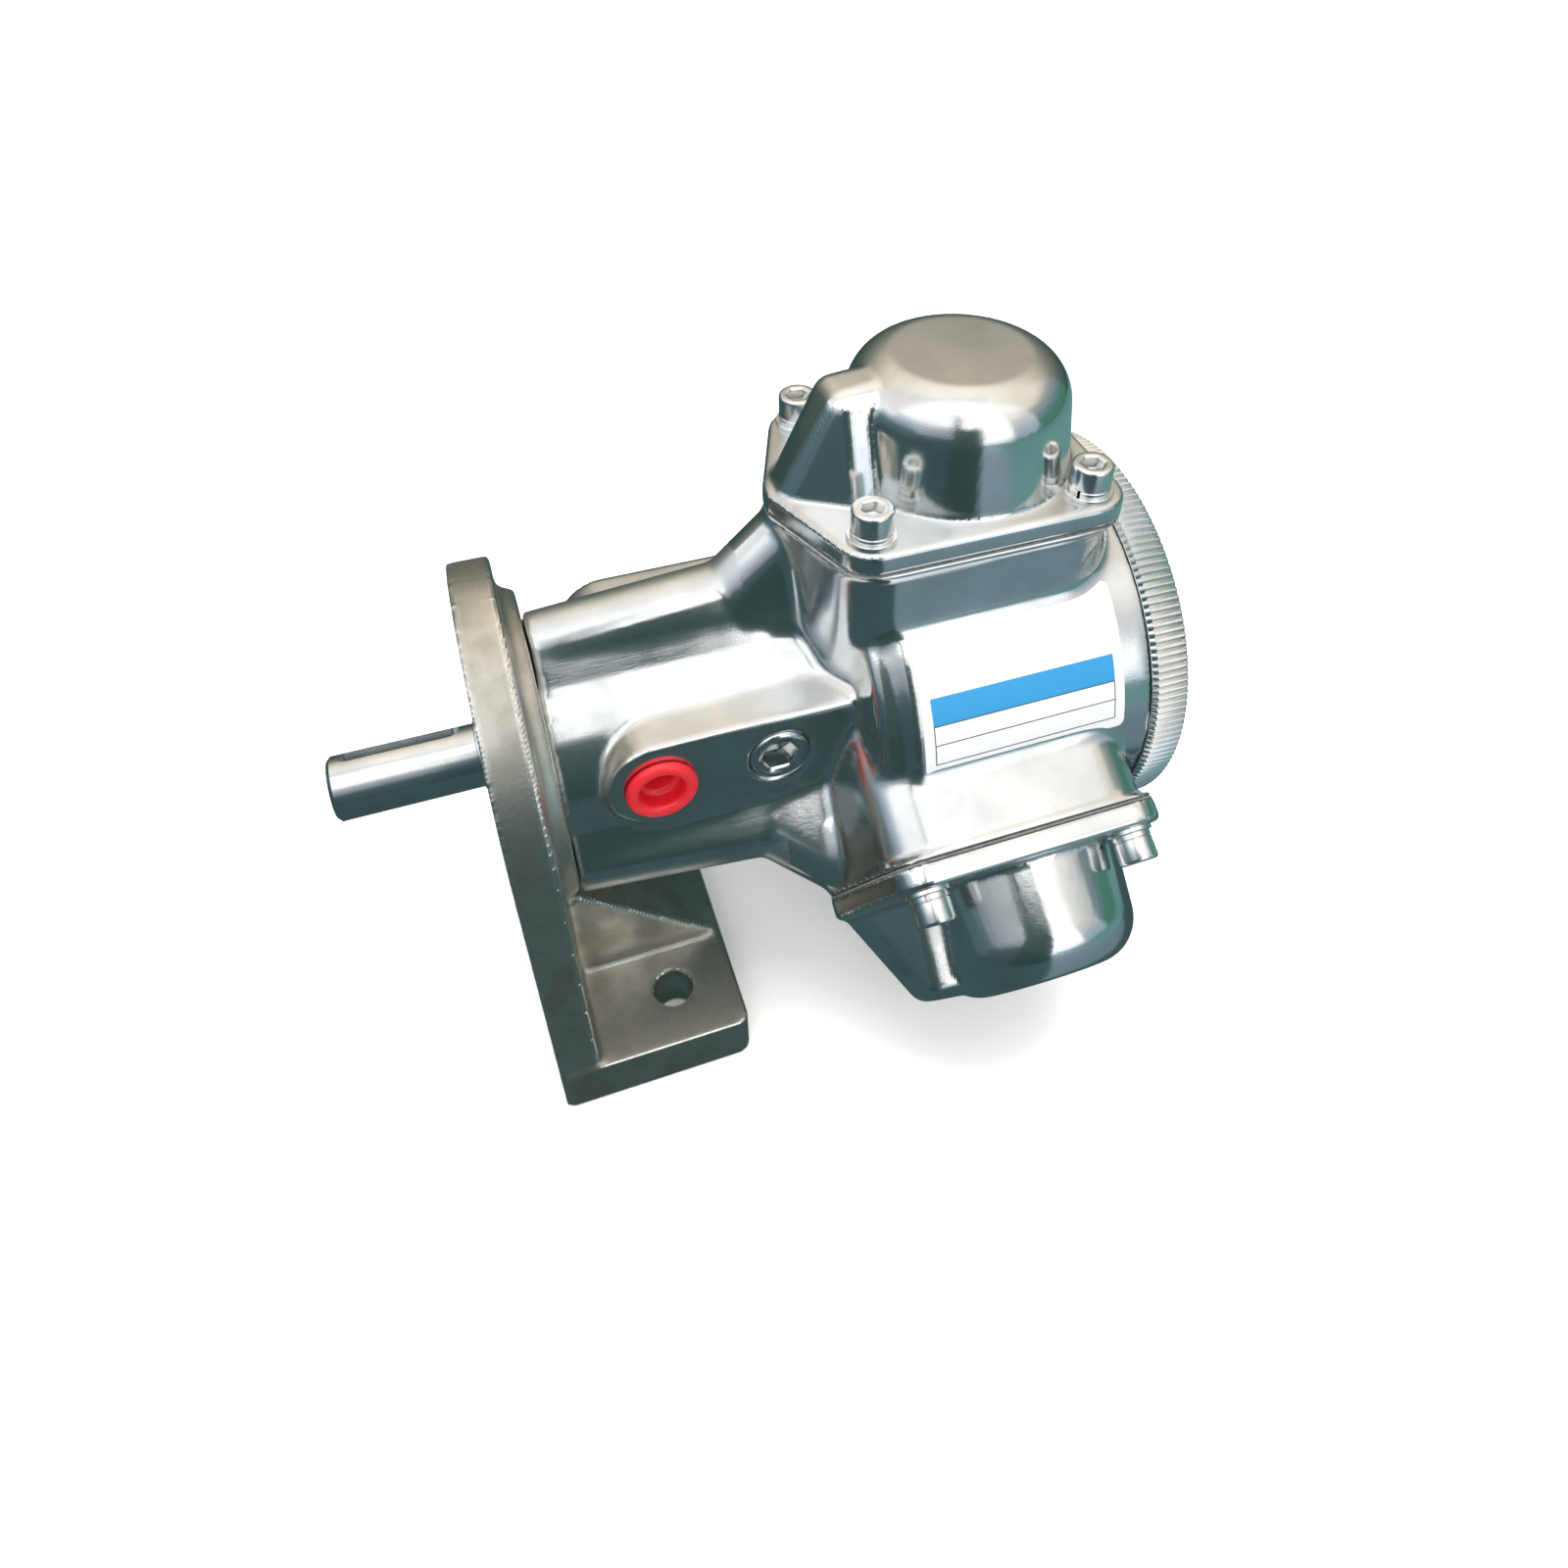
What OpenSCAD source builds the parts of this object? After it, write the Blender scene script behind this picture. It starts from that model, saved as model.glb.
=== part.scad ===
// Three-cylinder radial piston air motor on a foot bracket.
// Origin: shaft axis at the bracket's front face. X runs rearward along the shaft, Z is up.

/* [Shaft and crank] */
// Diameter of the output shaft
shaft_d = 14; // [12:0.5:15]
// Length of shaft in front of the bracket
shaft_out = 32; // [26:1:40]
// Crank throw, half the stroke
throw = 5; // [3:0.5:5.5]

/* [Foot bracket] */
// Height of the shaft axis above the foot
axis_h = 71; // [66:1:76]
// Radius of the plate's round top
plate_r = 42; // [40:0.5:44]
// Thickness of the plate
plate_t = 9; // [8:0.5:10]
// Half the width of the foot
foot_half_w = 47; // [46:0.5:50]
// Length of the foot behind the plate's front face
foot_l = 43.7; // [42:0.1:48]
// Thickness of the foot
foot_t = 13; // [11:0.5:14]
// Diameter of the foot's bolt holes
foot_hole_d = 9; // [7:0.5:10]

/* [Housing] */
// Radius of the neck behind the bracket
neck_r = 26.8; // [25:0.1:28]
// Radius of the crankcase
case_r = 44.2; // [43:0.1:46]
// Distance of the port faces from the shaft axis
port_face = 28.4; // [27.5:0.1:29]

/* [Cylinders] */
// Bore of each cylinder
bore_d = 37; // [34:0.5:37]
// Distance of the cylinder axes behind the bracket's front face
cyl_x = 105.8; // [105:0.1:107]
// Distance of the cover plates' tops from the shaft axis
cover_top = 55.3; // [55:0.1:57]
// Distance of the domes' tops from the shaft axis
dome_top = 79.8; // [79:0.1:82]
// Diameter of the domes
dome_d = 49.4; // [49:0.1:50]

/* [Rear cap] */
// Diameter over the knurl
knurl_d = 91.8; // [90:0.1:96]
// Number of teeth in the knurl
knurl_teeth = 132; // [60:1:150]

/* [Hidden] */
$fn = 64;
eps = 0.01;
CYLINDERS = [0, 1, 2];

key_x = [-27.7, -7.2];
key_w = 5;
key_depth = 3;
key_turn = 24;

boss_r = 34;
boss_x = 12.7;
gusset_half_w = 21.5;
foot_hole_x = 28.8;
foot_hole_y = 32.8;
seal_r = 13;

crest_r = 8;
crest_front = 26.3;
crest_bend = 29.8;
crest_rise = 42.5;
bend_x = 55.7;
nose_x = 72.2;
nose_r = 8;
corner_x = [79.9, 126.3];
corner_y = 20.3;
corner_r = 8;
barrel_z = 20.5;
barrel_inset = 0.6;
barrel_round = 5;
lip_t = 1;
plate_cover_t = 4.8;
gasket_t = 0.5;
joint_z = cover_top - plate_cover_t - gasket_t;
case_x = [76, 138.5];
cavity_r = 37;
cap_thread_r = 41;
case_front_wall = 4;

port_r = 11.2;
port_x = 32.4;
port_z = 7.6;
hex_plug_x = 57.9;
port_drill_r = 5.9;
hex_plug_r = 6.6;

valve_r = 15;
valve_x = [26, 65.5];
bearing_front_x = [12.7, 23.7];
bearing_rear_x = [66, 78];
bearing_front_r = 17.5;
bearing_rear_r = 20;
duct_r = 3.2;
duct_x = 73;
valve_duct_x = 40;

liner_r = 20.7;
liner_z = [32, 71];
liner_flange = [22.4, 2];
dome_cavity_r = 20.9;
dome_cavity_top = 14;
dome_wall = 4;
dome_draft = 6;
dome_fillet = 10.5;

screw_x = [79, 126.1];
screw_y = 22;
screw_d = 5;
screw_head = [8.5, 5];
hex_key = 4;
flat_washer = [5.3, 10, 1];
spring_washer = [5.2, 8.6, 1.2];
screw_depth = 14;

rod_l = 46;
rod_w = 9;
pin_r = 4;
eye_r = 5;
crankpin_r = 8;
crank_bush_r = 10;
rod_foot_w = 16;
rod_foot_r = 12.7;
crown_top = 70;
crown_t = 3.5;
piston_r = bore_d / 2 - 0.4;
ring_r = bore_d / 2 - 0.2;
skirt_bottom = 43;
skirt_wall = 2;
web_x = [81.2, 89];

ALUMINIUM = "#c9cccf";
CAST = "#b9bdc0";
STEEL = "#a8adb2";
BRIGHT = "#d3d6d9";
BRONZE = "#b08d57";
DARK = "#3a3d40";

// Points of a convex outline that wraps round circles [x, y, r], given anticlockwise
function edge_angle(a, b) =
    let (d = [b[0] - a[0], b[1] - a[1]])
    atan2(d[1], d[0]) - 90 + asin((a[2] - b[2]) / norm(d));
function after(angle, start) = angle < start - 0.001 ? after(angle + 360, start) : angle;
function wrap(circles, grow = 0, steps = 8) = [
    for (i = [0:len(circles) - 1])
        let (
            c = circles[i],
            before = circles[(i + len(circles) - 1) % len(circles)],
            next = circles[(i + 1) % len(circles)],
            a0 = edge_angle(before, c),
            a1 = after(edge_angle(c, next), a0)
        )
        for (s = [0:steps])
            let (a = a0 + (a1 - a0) * s / steps)
            [c[0] + (c[2] + grow) * cos(a), c[1] + (c[2] + grow) * sin(a)]
];
// Points of an arc about [x, y] from angle a0 to a1
function arc(centre, r, a0, a1, steps = 8) = [
    for (s = [0:steps])
        let (a = a0 + (a1 - a0) * s / steps)
        [centre[0] + r * cos(a), centre[1] + r * sin(a)]
];
// Place of wrist pin i along its cylinder, with the crankpin towards cylinder 0, and its rod's tilt
function wrist_z(i) =
    let (a = -120 * i, y = throw * sin(a), z = throw * cos(a))
    z + sqrt(rod_l * rod_l - y * y);
function rod_tilt(i) = let (a = -120 * i) -asin(throw * sin(a) / rod_l);

COVER_OUTLINE = [
    [nose_x, 0, nose_r], [corner_x[0], -corner_y, corner_r], [corner_x[1], -corner_y, corner_r],
    [corner_x[1], corner_y, corner_r], [corner_x[0], corner_y, corner_r]
];
// The barrel under the cover: flush along the sides, rounder at the corners
BARREL_OUTLINE = [
    [nose_x, 0, nose_r - barrel_inset],
    for (corner = [[corner_x[0] + 0.7 * barrel_round, -1], [corner_x[1] - barrel_round, -1],
            [corner_x[1] - barrel_round, 1], [corner_x[0] + 0.7 * barrel_round, 1]])
        [corner[0], corner[1] * (corner_y - barrel_round), corner_r + barrel_round - barrel_inset]
];
PLATE_OUTLINE = [
    [0, 0, plate_r], [-foot_half_w + 2, -axis_h + 2, 2], [foot_half_w - 2, -axis_h + 2, 2]
];

// Frame of cylinder i: Z points out along its axis
module at_cylinder(i) { rotate([120 * i, 0, 0]) children(); }
module at_cover_screws() { for (x = screw_x, y = [-screw_y, screw_y]) translate([x, y, 0]) children(); }
// Cylinder along X between x[0] and x[1]
module rod_x(x, r, y = 0, z = 0) {
    translate([x[0], y, z]) rotate([0, 90, 0]) cylinder(h = x[1] - x[0], r = r);
}
module tube_x(x, r, bore) {
    difference() {
        rod_x(x, r);
        rod_x([x[0] - 1, x[1] + 1], bore);
    }
}
// Extrusion along X of a shape drawn in Y and Z
module along_x(x) { translate([x[0], 0, 0]) rotate([90, 0, 90]) linear_extrude(x[1] - x[0]) children(); }
// Body of revolution about X of a profile drawn as [radius, x]
module turned(profile) { rotate([0, 90, 0]) rotate_extrude($fn = 96) polygon(profile); }

module foot_bracket() {
    color(CAST) difference() {
        union() {
            along_x([0, plate_t]) polygon(wrap(PLATE_OUTLINE, steps = 72));
            turned([
                [0, plate_t - 1], [boss_r + 1.2, plate_t - 1], [boss_r + 1.2, plate_t],
                each arc([boss_r - 1, boss_x - 1], 1, 0, 90, 4), [0, boss_x]
            ]);
            translate([0, 0, -axis_h]) linear_extrude(foot_t) polygon(wrap([
                [2, -foot_half_w + 2, 2], [foot_l - 3, -foot_half_w + 3, 3],
                [foot_l - 3, foot_half_w - 3, 3], [2, foot_half_w - 2, 2]
            ], steps = 6));
            translate([0, gusset_half_w, 0]) rotate([90, 0, 0]) linear_extrude(2 * gusset_half_w) polygon([
                [1, -axis_h + 1], [foot_l - 0.5, -axis_h + 1], [foot_l - 0.5, -axis_h + foot_t],
                [boss_x, -boss_r + 3.5], [1, -boss_r + 3.5]
            ]);
        }
        rod_x([-1, 7], seal_r);
        rod_x([6, boss_x + 1], seal_r - 3);
        for (y = [-foot_hole_y, foot_hole_y])
            translate([foot_hole_x, y, -axis_h - 1]) cylinder(h = foot_t + 2, r = foot_hole_d / 2);
        bracket_screw_places() {
            rod_x([-1, 6], 4.6);
            rod_x([5, boss_x + 1], 2.7);
        }
    }
}

module bracket_screw_places() {
    for (a = [45:90:315]) rotate([a, 0, 0]) translate([0, 0, 22.3]) children();
}

module housing() {
    color(ALUMINIUM) difference() {
        union() {
            rod_x([boss_x, case_x[0] + 3], neck_r);
            crankcase_body();
            for (side = [0, 1]) mirror([0, side, 0]) port_block();
            for (i = CYLINDERS) at_cylinder(i) {
                rib();
                barrel();
            }
        }
        housing_bores();
    }
}

module crankcase_body() {
    step = 2.2;
    turned([
        [0, case_x[0]], each arc([case_r - step - 3, case_x[0] + 3], 3, -90, 0, 5),
        [case_r - step, case_x[0] + 5.5],
        each arc([case_r - 2, case_x[0] + 7.5], 2, -90, 0, 4),
        each arc([case_r - 0.8, case_x[1] - 0.8], 0.8, 0, 90, 3), [0, case_x[1]]
    ]);
}

module port_block() {
    translate([0, 0, port_z]) rotate([90, 0, 0]) linear_extrude(port_face)
        polygon([
            each arc([port_x, 0], port_r, 90, 270, 20), [case_x[0] + 1, -port_r], [case_x[0] + 1, port_r]
        ]);
}

// Section of a rib: a round crest on walls that spread by `spread` down to `depth` under its middle
module rib_section(spread, depth) {
    polygon(wrap([[-spread, -depth, 0.1], [spread, -depth, 0.1], [0, 0, crest_r]], steps = 12));
}

// Rib over an air duct: it climbs slowly along the neck, then steeply to the nose of its cylinder
module rib() {
    climb = atan((crest_bend - crest_front) / (bend_x - boss_x));
    intersection() {
        union() {
            translate([0, 0, crest_front]) along_x([boss_x, bend_x + 4]) rib_section(15, 6.1);
            translate([bend_x, 0, crest_bend]) {
                rotate([0, -climb, 0]) along_x([-50, 4]) rib_section(10, 8);
                rotate([0, -crest_rise, 0]) along_x([0, 26]) rib_section(12.5, 16);
            }
        }
        translate([boss_x + 0.3, -20, 0]) cube([nose_x - boss_x, 40, joint_z - 0.5]);
    }
}

module barrel() {
    translate([0, 0, barrel_z]) linear_extrude(joint_z - barrel_z) polygon(wrap(BARREL_OUTLINE));
    translate([0, 0, joint_z - lip_t]) linear_extrude(lip_t) polygon(wrap(COVER_OUTLINE));
}

module housing_bores() {
    rod_x([boss_x - 1, bearing_front_x[1]], bearing_front_r);
    rod_x([bearing_front_x[1] - 1, valve_x[0] + 1], valve_r - 2);
    rod_x([valve_x[0], valve_x[1]], valve_r);
    rod_x([valve_x[1] - 0.5, bearing_rear_x[0] + 1], valve_r - 2);
    rod_x([bearing_rear_x[0], case_x[0] + case_front_wall + 1], bearing_rear_r);
    rod_x([case_x[0] + case_front_wall, case_x[1] - 6], cavity_r);
    rod_x([case_x[1] - 7.7, case_x[1] + 1], cap_thread_r);
    bracket_screw_places() rod_x([boss_x - 1, boss_x + 12], 2.1);
    for (i = CYLINDERS) at_cylinder(i) {
        translate([cyl_x, 0, 26]) cylinder(h = joint_z, r = liner_r + 0.1);
        translate([cyl_x, 0, joint_z - liner_flange[1]]) cylinder(h = 10, r = liner_flange[0] + 0.1);
        rod_x([valve_duct_x - 1, duct_x + 1], duct_r + 0.2, 0, crest_front);
        translate([valve_duct_x, 0, valve_r - 1]) cylinder(h = crest_front - valve_r + 1, r = duct_r);
        translate([duct_x, 0, crest_front]) cylinder(h = joint_z, r = duct_r);
        at_cover_screws() translate([0, 0, joint_z - screw_depth + 3])
            cylinder(h = screw_depth, r = screw_d / 2 + 0.05);
    }
    for (side = [0, 1]) mirror([0, side, 0]) {
        translate([port_x, 0, port_z]) rotate([90, 0, 0]) {
            cylinder(h = port_face + 1, r = 4);
            translate([0, 0, port_face - 12]) cylinder(h = 13, r = port_drill_r);
        }
        translate([hex_plug_x, 0, port_z]) rotate([90, 0, 0]) {
            cylinder(h = port_face + 1, r = 4);
            translate([0, 0, port_face - 9]) cylinder(h = 10, r = hex_plug_r);
        }
    }
}

module shaft_seal() {
    color(DARK) turned([
        [7.8, 1], [8.4, 0.3], [seal_r - 0.5, 0.3], [seal_r, 0.8], [seal_r, 7], [7.8, 7]
    ]);
}

// Shielded ball bearing seen from outside: outer ring and two shields round a free inner race
module bearing_ring(x, r, race_r) {
    turned([
        [race_r + 0.3, x[0] + 0.6], [r - 2, x[0] + 0.6], [r - 2, x[0]], [r, x[0]],
        [r, x[1]], [r - 2, x[1]], [r - 2, x[1] - 0.6], [race_r + 0.3, x[1] - 0.6]
    ]);
}
module front_bearing() { color(STEEL) bearing_ring(bearing_front_x, bearing_front_r, 10.2); }
module rear_bearing() { color(STEEL) bearing_ring(bearing_rear_x, bearing_rear_r, 12.2); }
module front_bearing_race() { color(BRIGHT) tube_x(bearing_front_x, 10.2, 7.5); }
module rear_bearing_race() { color(BRIGHT) tube_x(bearing_rear_x, 12.2, 8.5); }

module crankshaft() {
    tip = -shaft_out;
    color(BRIGHT) difference() {
        union() {
            turned([
                [0, tip], [shaft_d / 2 - 0.8, tip], [shaft_d / 2, tip + 0.8], [shaft_d / 2, 0],
                [7.5, 0], [7.5, valve_x[0]], [8, valve_x[0]], [8, valve_x[1]],
                [8.5, valve_x[1]], [8.5, bearing_rear_x[1]],
                [11, bearing_rear_x[1]], [11, web_x[0]], [0, web_x[0]]
            ]);
            along_x(web_x) crank_web();
            rod_x([web_x[1] - 1, web_x[1] + 1.5], crank_bush_r + 1, 0, throw);
            rod_x([web_x[1], cyl_x + 10.2], crankpin_r, 0, throw);
        }
        translate([cyl_x - 4, 0, throw]) rotate([0, 90, 0]) cylinder(h = 20, r = 2.5);
        key_seat();
    }
}

// Round-ended key seat, turned from the top towards +Y
module key_seat() {
    rotate([-key_turn, 0, 0]) translate([0, 0, shaft_d / 2 - key_depth])
        linear_extrude(key_depth + 1) polygon([
            each arc([key_x[1], 0], key_w / 2, -90, 90, 12), each arc([key_x[0], 0], key_w / 2, 90, 270, 12)
        ]);
}

// Web with a counterweight opposite the crankpin
module crank_web() {
    polygon([
        each arc([0, throw], 13.5, 20, 160, 12), each arc([0, 0], 30, 200, 340, 20)
    ]);
}

module valve_spool() {
    color(STEEL) difference() {
        tube_x([valve_x[0] + 0.6, valve_x[1] - 0.6], 11, 8);
        for (x = [port_x, hex_plug_x]) translate([x, 0, 0]) rotate([0, 90, 0]) difference() {
            cylinder(h = 6, r = 12, center = true);
            cylinder(h = 7, r = 9.4, center = true);
        }
        for (side = [-1, 1]) translate([valve_duct_x - 3, -12, side > 0 ? 9.2 : -14]) cube([8, 24, 4.8]);
        translate([port_x, -3, 9.2]) cube([valve_duct_x - port_x, 6, 4]);
        translate([valve_duct_x, -3, -13.2]) cube([hex_plug_x - valve_duct_x, 6, 4]);
    }
}

module valve_sleeve() {
    color(BRONZE) difference() {
        tube_x(valve_x, valve_r, 11.1);
        for (i = CYLINDERS) at_cylinder(i) translate([valve_duct_x, 0, 9]) cylinder(h = 10, r = duct_r - 0.2);
        for (side = [-1, 1], x = [port_x, hex_plug_x])
            translate([x, 0, port_z]) rotate([90 * side, 0, 0]) cylinder(h = 20, r = 2.9);
    }
}

module crankpin_bearing() {
    color(BRONZE) translate([0, 0, throw]) tube_x([web_x[1] + 1.5, cyl_x + 10.2], crank_bush_r, crankpin_r);
}

module crankpin_washer() {
    color(STEEL) translate([0, 0, throw]) tube_x([cyl_x + 10.2, cyl_x + 12.4], 12, 2.6);
}

module crankpin_screw() {
    color(STEEL) translate([cyl_x + 12.4, 0, throw]) rotate([0, 90, 0]) cap_screw(screw_d / 2 - 0.02, 14);
}

// Frame of rod i: origin at the crankpin, Z towards its wrist pin
module at_rod(i) {
    translate([0, 0, throw]) rotate([120 * i + rod_tilt(i), 0, 0]) children();
}

module connecting_rod(i) {
    color(ALUMINIUM) at_rod(i) difference() {
        union() {
            along_x([cyl_x - rod_foot_w / 2, cyl_x + rod_foot_w / 2]) slipper(rod_foot_r);
            along_x([cyl_x - rod_foot_w / 2 + 3.4, cyl_x + rod_foot_w / 2 - 3.4]) slipper(rod_foot_r + 2);
            along_x([cyl_x - rod_w / 2 + 1, cyl_x + rod_w / 2 - 1])
                polygon([[-5.5, rod_foot_r], [5.5, rod_foot_r], [3.4, rod_l - 3], [-3.4, rod_l - 3]]);
            rod_x([cyl_x - rod_w / 2, cyl_x + rod_w / 2], eye_r, 0, rod_l);
        }
        rod_x([cyl_x - rod_w, cyl_x + rod_w], pin_r, 0, rod_l);
        translate([cyl_x, 0, rod_l]) cylinder(h = eye_r + 2, r = 1);
    }
}

// Foot that rides on the crankpin's bearing, a third of a ring less the gaps
module slipper(r) {
    half = 50;
    polygon([
        each arc([0, 0], r, 90 - half, 90 + half, 18),
        each arc([0, 0], crank_bush_r + 0.1, 90 + half, 90 - half, 18)
    ]);
}

module wrist_pin(i) {
    color(BRIGHT) at_rod(i) difference() {
        rod_x([cyl_x - rod_w / 2, cyl_x + rod_w / 2], pin_r, 0, rod_l);
        rod_x([cyl_x - rod_w, cyl_x + rod_w], pin_r / 2, 0, rod_l);
    }
}

module rod_retaining_rings() {
    color(BRIGHT) translate([0, 0, throw]) for (side = [-1, 1])
        translate([cyl_x + side * (rod_foot_w / 2 - 1.6), 0, 0]) tube_x([-1.5, 1.5], 15.4, rod_foot_r + 0.3);
}

// Frame of piston i: Z = 0 at the shaft axis when the piston is at its top dead centre
module at_piston(i) { at_cylinder(i) translate([cyl_x, 0, wrist_z(i) - wrist_z(0)]) children(); }

module piston(i) {
    wrist = wrist_z(0);
    color(ALUMINIUM) at_piston(i) difference() {
        union() {
            difference() {
                rotate_extrude($fn = 96) polygon([
                    [0, crown_top], [piston_r - 0.6, crown_top], [piston_r, crown_top - 0.6],
                    [piston_r, skirt_bottom], [0, skirt_bottom]
                ]);
                translate([0, 0, skirt_bottom - 1])
                    cylinder(h = crown_top - crown_t - skirt_bottom + 1, r = piston_r - skirt_wall);
            }
            for (side = [-1, 1]) intersection() {
                translate([side * 12, 0, wrist]) rotate([0, 90, 0]) cylinder(h = 14, r = 7, center = true);
                translate([0, 0, skirt_bottom]) cylinder(h = 20, r = piston_r - skirt_wall + 0.5);
            }
        }
        rod_x([-30, 30], pin_r + 0.1, 0, wrist);
        for (z = ring_grooves()) translate([0, 0, z]) rotate_extrude($fn = 96) polygon([
            [piston_r - 1.3, 0], [piston_r + 1, 0], [piston_r + 1, 2], [piston_r - 1.3, 2]
        ]);
    }
}

function ring_grooves() = [crown_top - 4.6, crown_top - 8.8];

module piston_rings(i) {
    color(DARK) at_piston(i) for (z = ring_grooves()) translate([0, 0, z + 0.1]) difference() {
        cylinder(h = 1.8, r = ring_r, $fn = 96);
        translate([0, 0, -1]) cylinder(h = 4, r = piston_r - 1.3, $fn = 96);
    }
}

module cylinder_liner(i) {
    color(STEEL) at_cylinder(i) translate([cyl_x, 0, 0]) rotate_extrude($fn = 96) polygon([
        [bore_d / 2, liner_z[0]], [liner_r, liner_z[0]], [liner_r, joint_z - liner_flange[1]],
        [liner_flange[0], joint_z - liner_flange[1]], [liner_flange[0], joint_z],
        [liner_r, joint_z], [liner_r, liner_z[1]], [bore_d / 2, liner_z[1]]
    ]);
}

module cover_gasket(i) {
    color(DARK) at_cylinder(i) translate([0, 0, joint_z]) difference() {
        linear_extrude(gasket_t) polygon(wrap(COVER_OUTLINE, -0.15));
        translate([cyl_x, 0, -1]) cylinder(h = 3, r = dome_cavity_r);
        translate([duct_x, 0, -1]) cylinder(h = 3, r = duct_r);
        at_cover_screws() translate([0, 0, -1]) cylinder(h = 3, r = screw_d / 2 + 0.3);
    }
}

module cylinder_cover(i) {
    bottom = joint_z + gasket_t;
    color(ALUMINIUM) at_cylinder(i) difference() {
        union() {
            translate([0, 0, bottom]) linear_extrude(plate_cover_t - 0.8) polygon(wrap(COVER_OUTLINE));
            translate([0, 0, cover_top - 0.8 - eps]) linear_extrude(0.8 + eps) polygon(wrap(COVER_OUTLINE, -0.5));
            dome();
            air_lobe();
        }
        dome_cavity(bottom - 1);
        translate([duct_x, 0, bottom - 1]) cylinder(h = 4, r = duct_r);
        translate([duct_x, 0, bottom + 1]) rotate([0, 33, 0]) cylinder(h = 24, r = duct_r);
        at_cover_screws() translate([0, 0, bottom - 1]) cylinder(h = 8, r = screw_d / 2 + 0.3);
    }
}

// Dome with drafted sides and a round upper edge
module dome() {
    r = dome_d / 2;
    edge_z = dome_top - dome_fillet;
    top_r = r - (edge_z - cover_top) * tan(dome_draft) - dome_fillet / cos(dome_draft);
    translate([cyl_x, 0, 0]) rotate_extrude($fn = 96) polygon([
        [0, cover_top - 1], [r, cover_top - 1], [r, cover_top],
        each arc([top_r, edge_z], dome_fillet, dome_draft, 80, 10), [0, dome_top]
    ]);
}

module dome_cavity(from) {
    cone_top = dome_top - dome_wall;
    translate([cyl_x, 0, 0]) rotate_extrude($fn = 96) polygon([
        [0, from], [dome_cavity_r, from], [dome_cavity_r, cone_top - 4],
        [dome_cavity_top, cone_top], [0, cone_top]
    ]);
}

// Duct from the nose of the plate up to the top of the dome
module air_lobe() {
    ridge_r = 7;
    front_r = 4.6;
    nose = 6;
    hull() {
        for (y = [-1, 1]) {
            translate([80, y * 2.6, dome_top - 2.9 - front_r]) sphere(r = front_r, $fn = 24);
            translate([95, y * 1.6, dome_top - 1.2 - ridge_r]) sphere(r = ridge_r, $fn = 24);
            translate([72.3, y * 1.7, cover_top - 1]) cylinder(h = 1, r = nose, $fn = 24);
            translate([90, y * 9, cover_top - 1]) cylinder(h = 1, r = 4, $fn = 24);
            translate([80, y * 8.6, cover_top - 1]) cylinder(h = 1, r = 4, $fn = 24);
        }
    }
}

// Socket head cap screw, seat of its head at Z = 0 and its shank towards -Z
module cap_screw(r, shank) {
    difference() {
        union() {
            rotate_extrude() polygon([
                [0, 0], [screw_head[0] / 2, 0], [screw_head[0] / 2, screw_head[1] - 0.5],
                [screw_head[0] / 2 - 0.5, screw_head[1]], [0, screw_head[1]]
            ]);
            translate([0, 0, -shank]) cylinder(h = shank + eps, r = r);
        }
        translate([0, 0, screw_head[1] - 2.6]) cylinder(h = 3, r = hex_key / 2 / cos(30), $fn = 6);
    }
}

module flat_washers(i) {
    color(BRIGHT) at_cylinder(i) at_cover_screws() translate([0, 0, cover_top]) washer(flat_washer);
}

module spring_washers(i) {
    color(STEEL) at_cylinder(i) at_cover_screws() translate([0, 0, cover_top + flat_washer[2]]) difference() {
        washer(spring_washer);
        rotate([25, 0, 0]) translate([0, -0.35, -3]) cube([8, 0.7, 8]);
    }
}

module washer(size) {
    difference() {
        cylinder(h = size[2], r = size[1] / 2);
        translate([0, 0, -1]) cylinder(h = size[2] + 2, r = size[0] / 2);
    }
}

module cover_screws(i) {
    seat = cover_top + flat_washer[2] + spring_washer[2];
    color(BRIGHT) at_cylinder(i) at_cover_screws() translate([0, 0, seat]) cap_screw(screw_d / 2, 18);
}

module bracket_screws() {
    color(STEEL) bracket_screw_places() translate([6, 0, 0]) rotate([0, -90, 0]) cap_screw(2, 16);
}

// Screwed rear cover with a knurled rim
module rear_cap() {
    r = knurl_d / 2;
    pitch = 360 / knurl_teeth;
    tooth = 0.8;
    end = case_x[1];
    rim = [end + 0.4, end + 8];
    color(BRIGHT) difference() {
        union() {
            along_x([rim[0], rim[1] - 0.4]) polygon([
                for (t = [0:knurl_teeth - 1], s = [0, 1])
                    let (a = (t + s / 2) * pitch, q = r - tooth * s) [q * cos(a), q * sin(a)]
            ]);
            turned([
                [0, end - 7.5], [cap_thread_r - 0.2, end - 7.5], [cap_thread_r - 0.2, rim[0]],
                [r - 1.6, rim[0]], [r - 1.6, rim[1]], [0, rim[1]]
            ]);
        }
        rod_x([end - 8, end + 2.4], cap_thread_r - 5);
        turned([[0, rim[1] - 1.2], [33, rim[1] - 1.2], [35, rim[1] + 0.8], [0, rim[1] + 0.8]]);
    }
}

module rear_cap_seal() {
    color(DARK) tube_x([case_x[1], case_x[1] + 0.4], case_r - 1, cap_thread_r - 0.2);
}

module port_plugs() {
    color("#d8404f") for (side = [0, 1]) mirror([0, side, 0])
        translate([port_x, -port_face, port_z]) rotate([90, 0, 0]) rotate_extrude() polygon([
            [0, -9], [port_drill_r - 0.6, -9], [port_drill_r, -7], [port_drill_r, 0], [7.9, 0],
            each arc([7.2, 1.2], 0.7, 0, 90, 3), [5.6, 1.9], [4.4, 1], [4.2, -7.6], [0, -7.6]
        ]);
}

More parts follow.
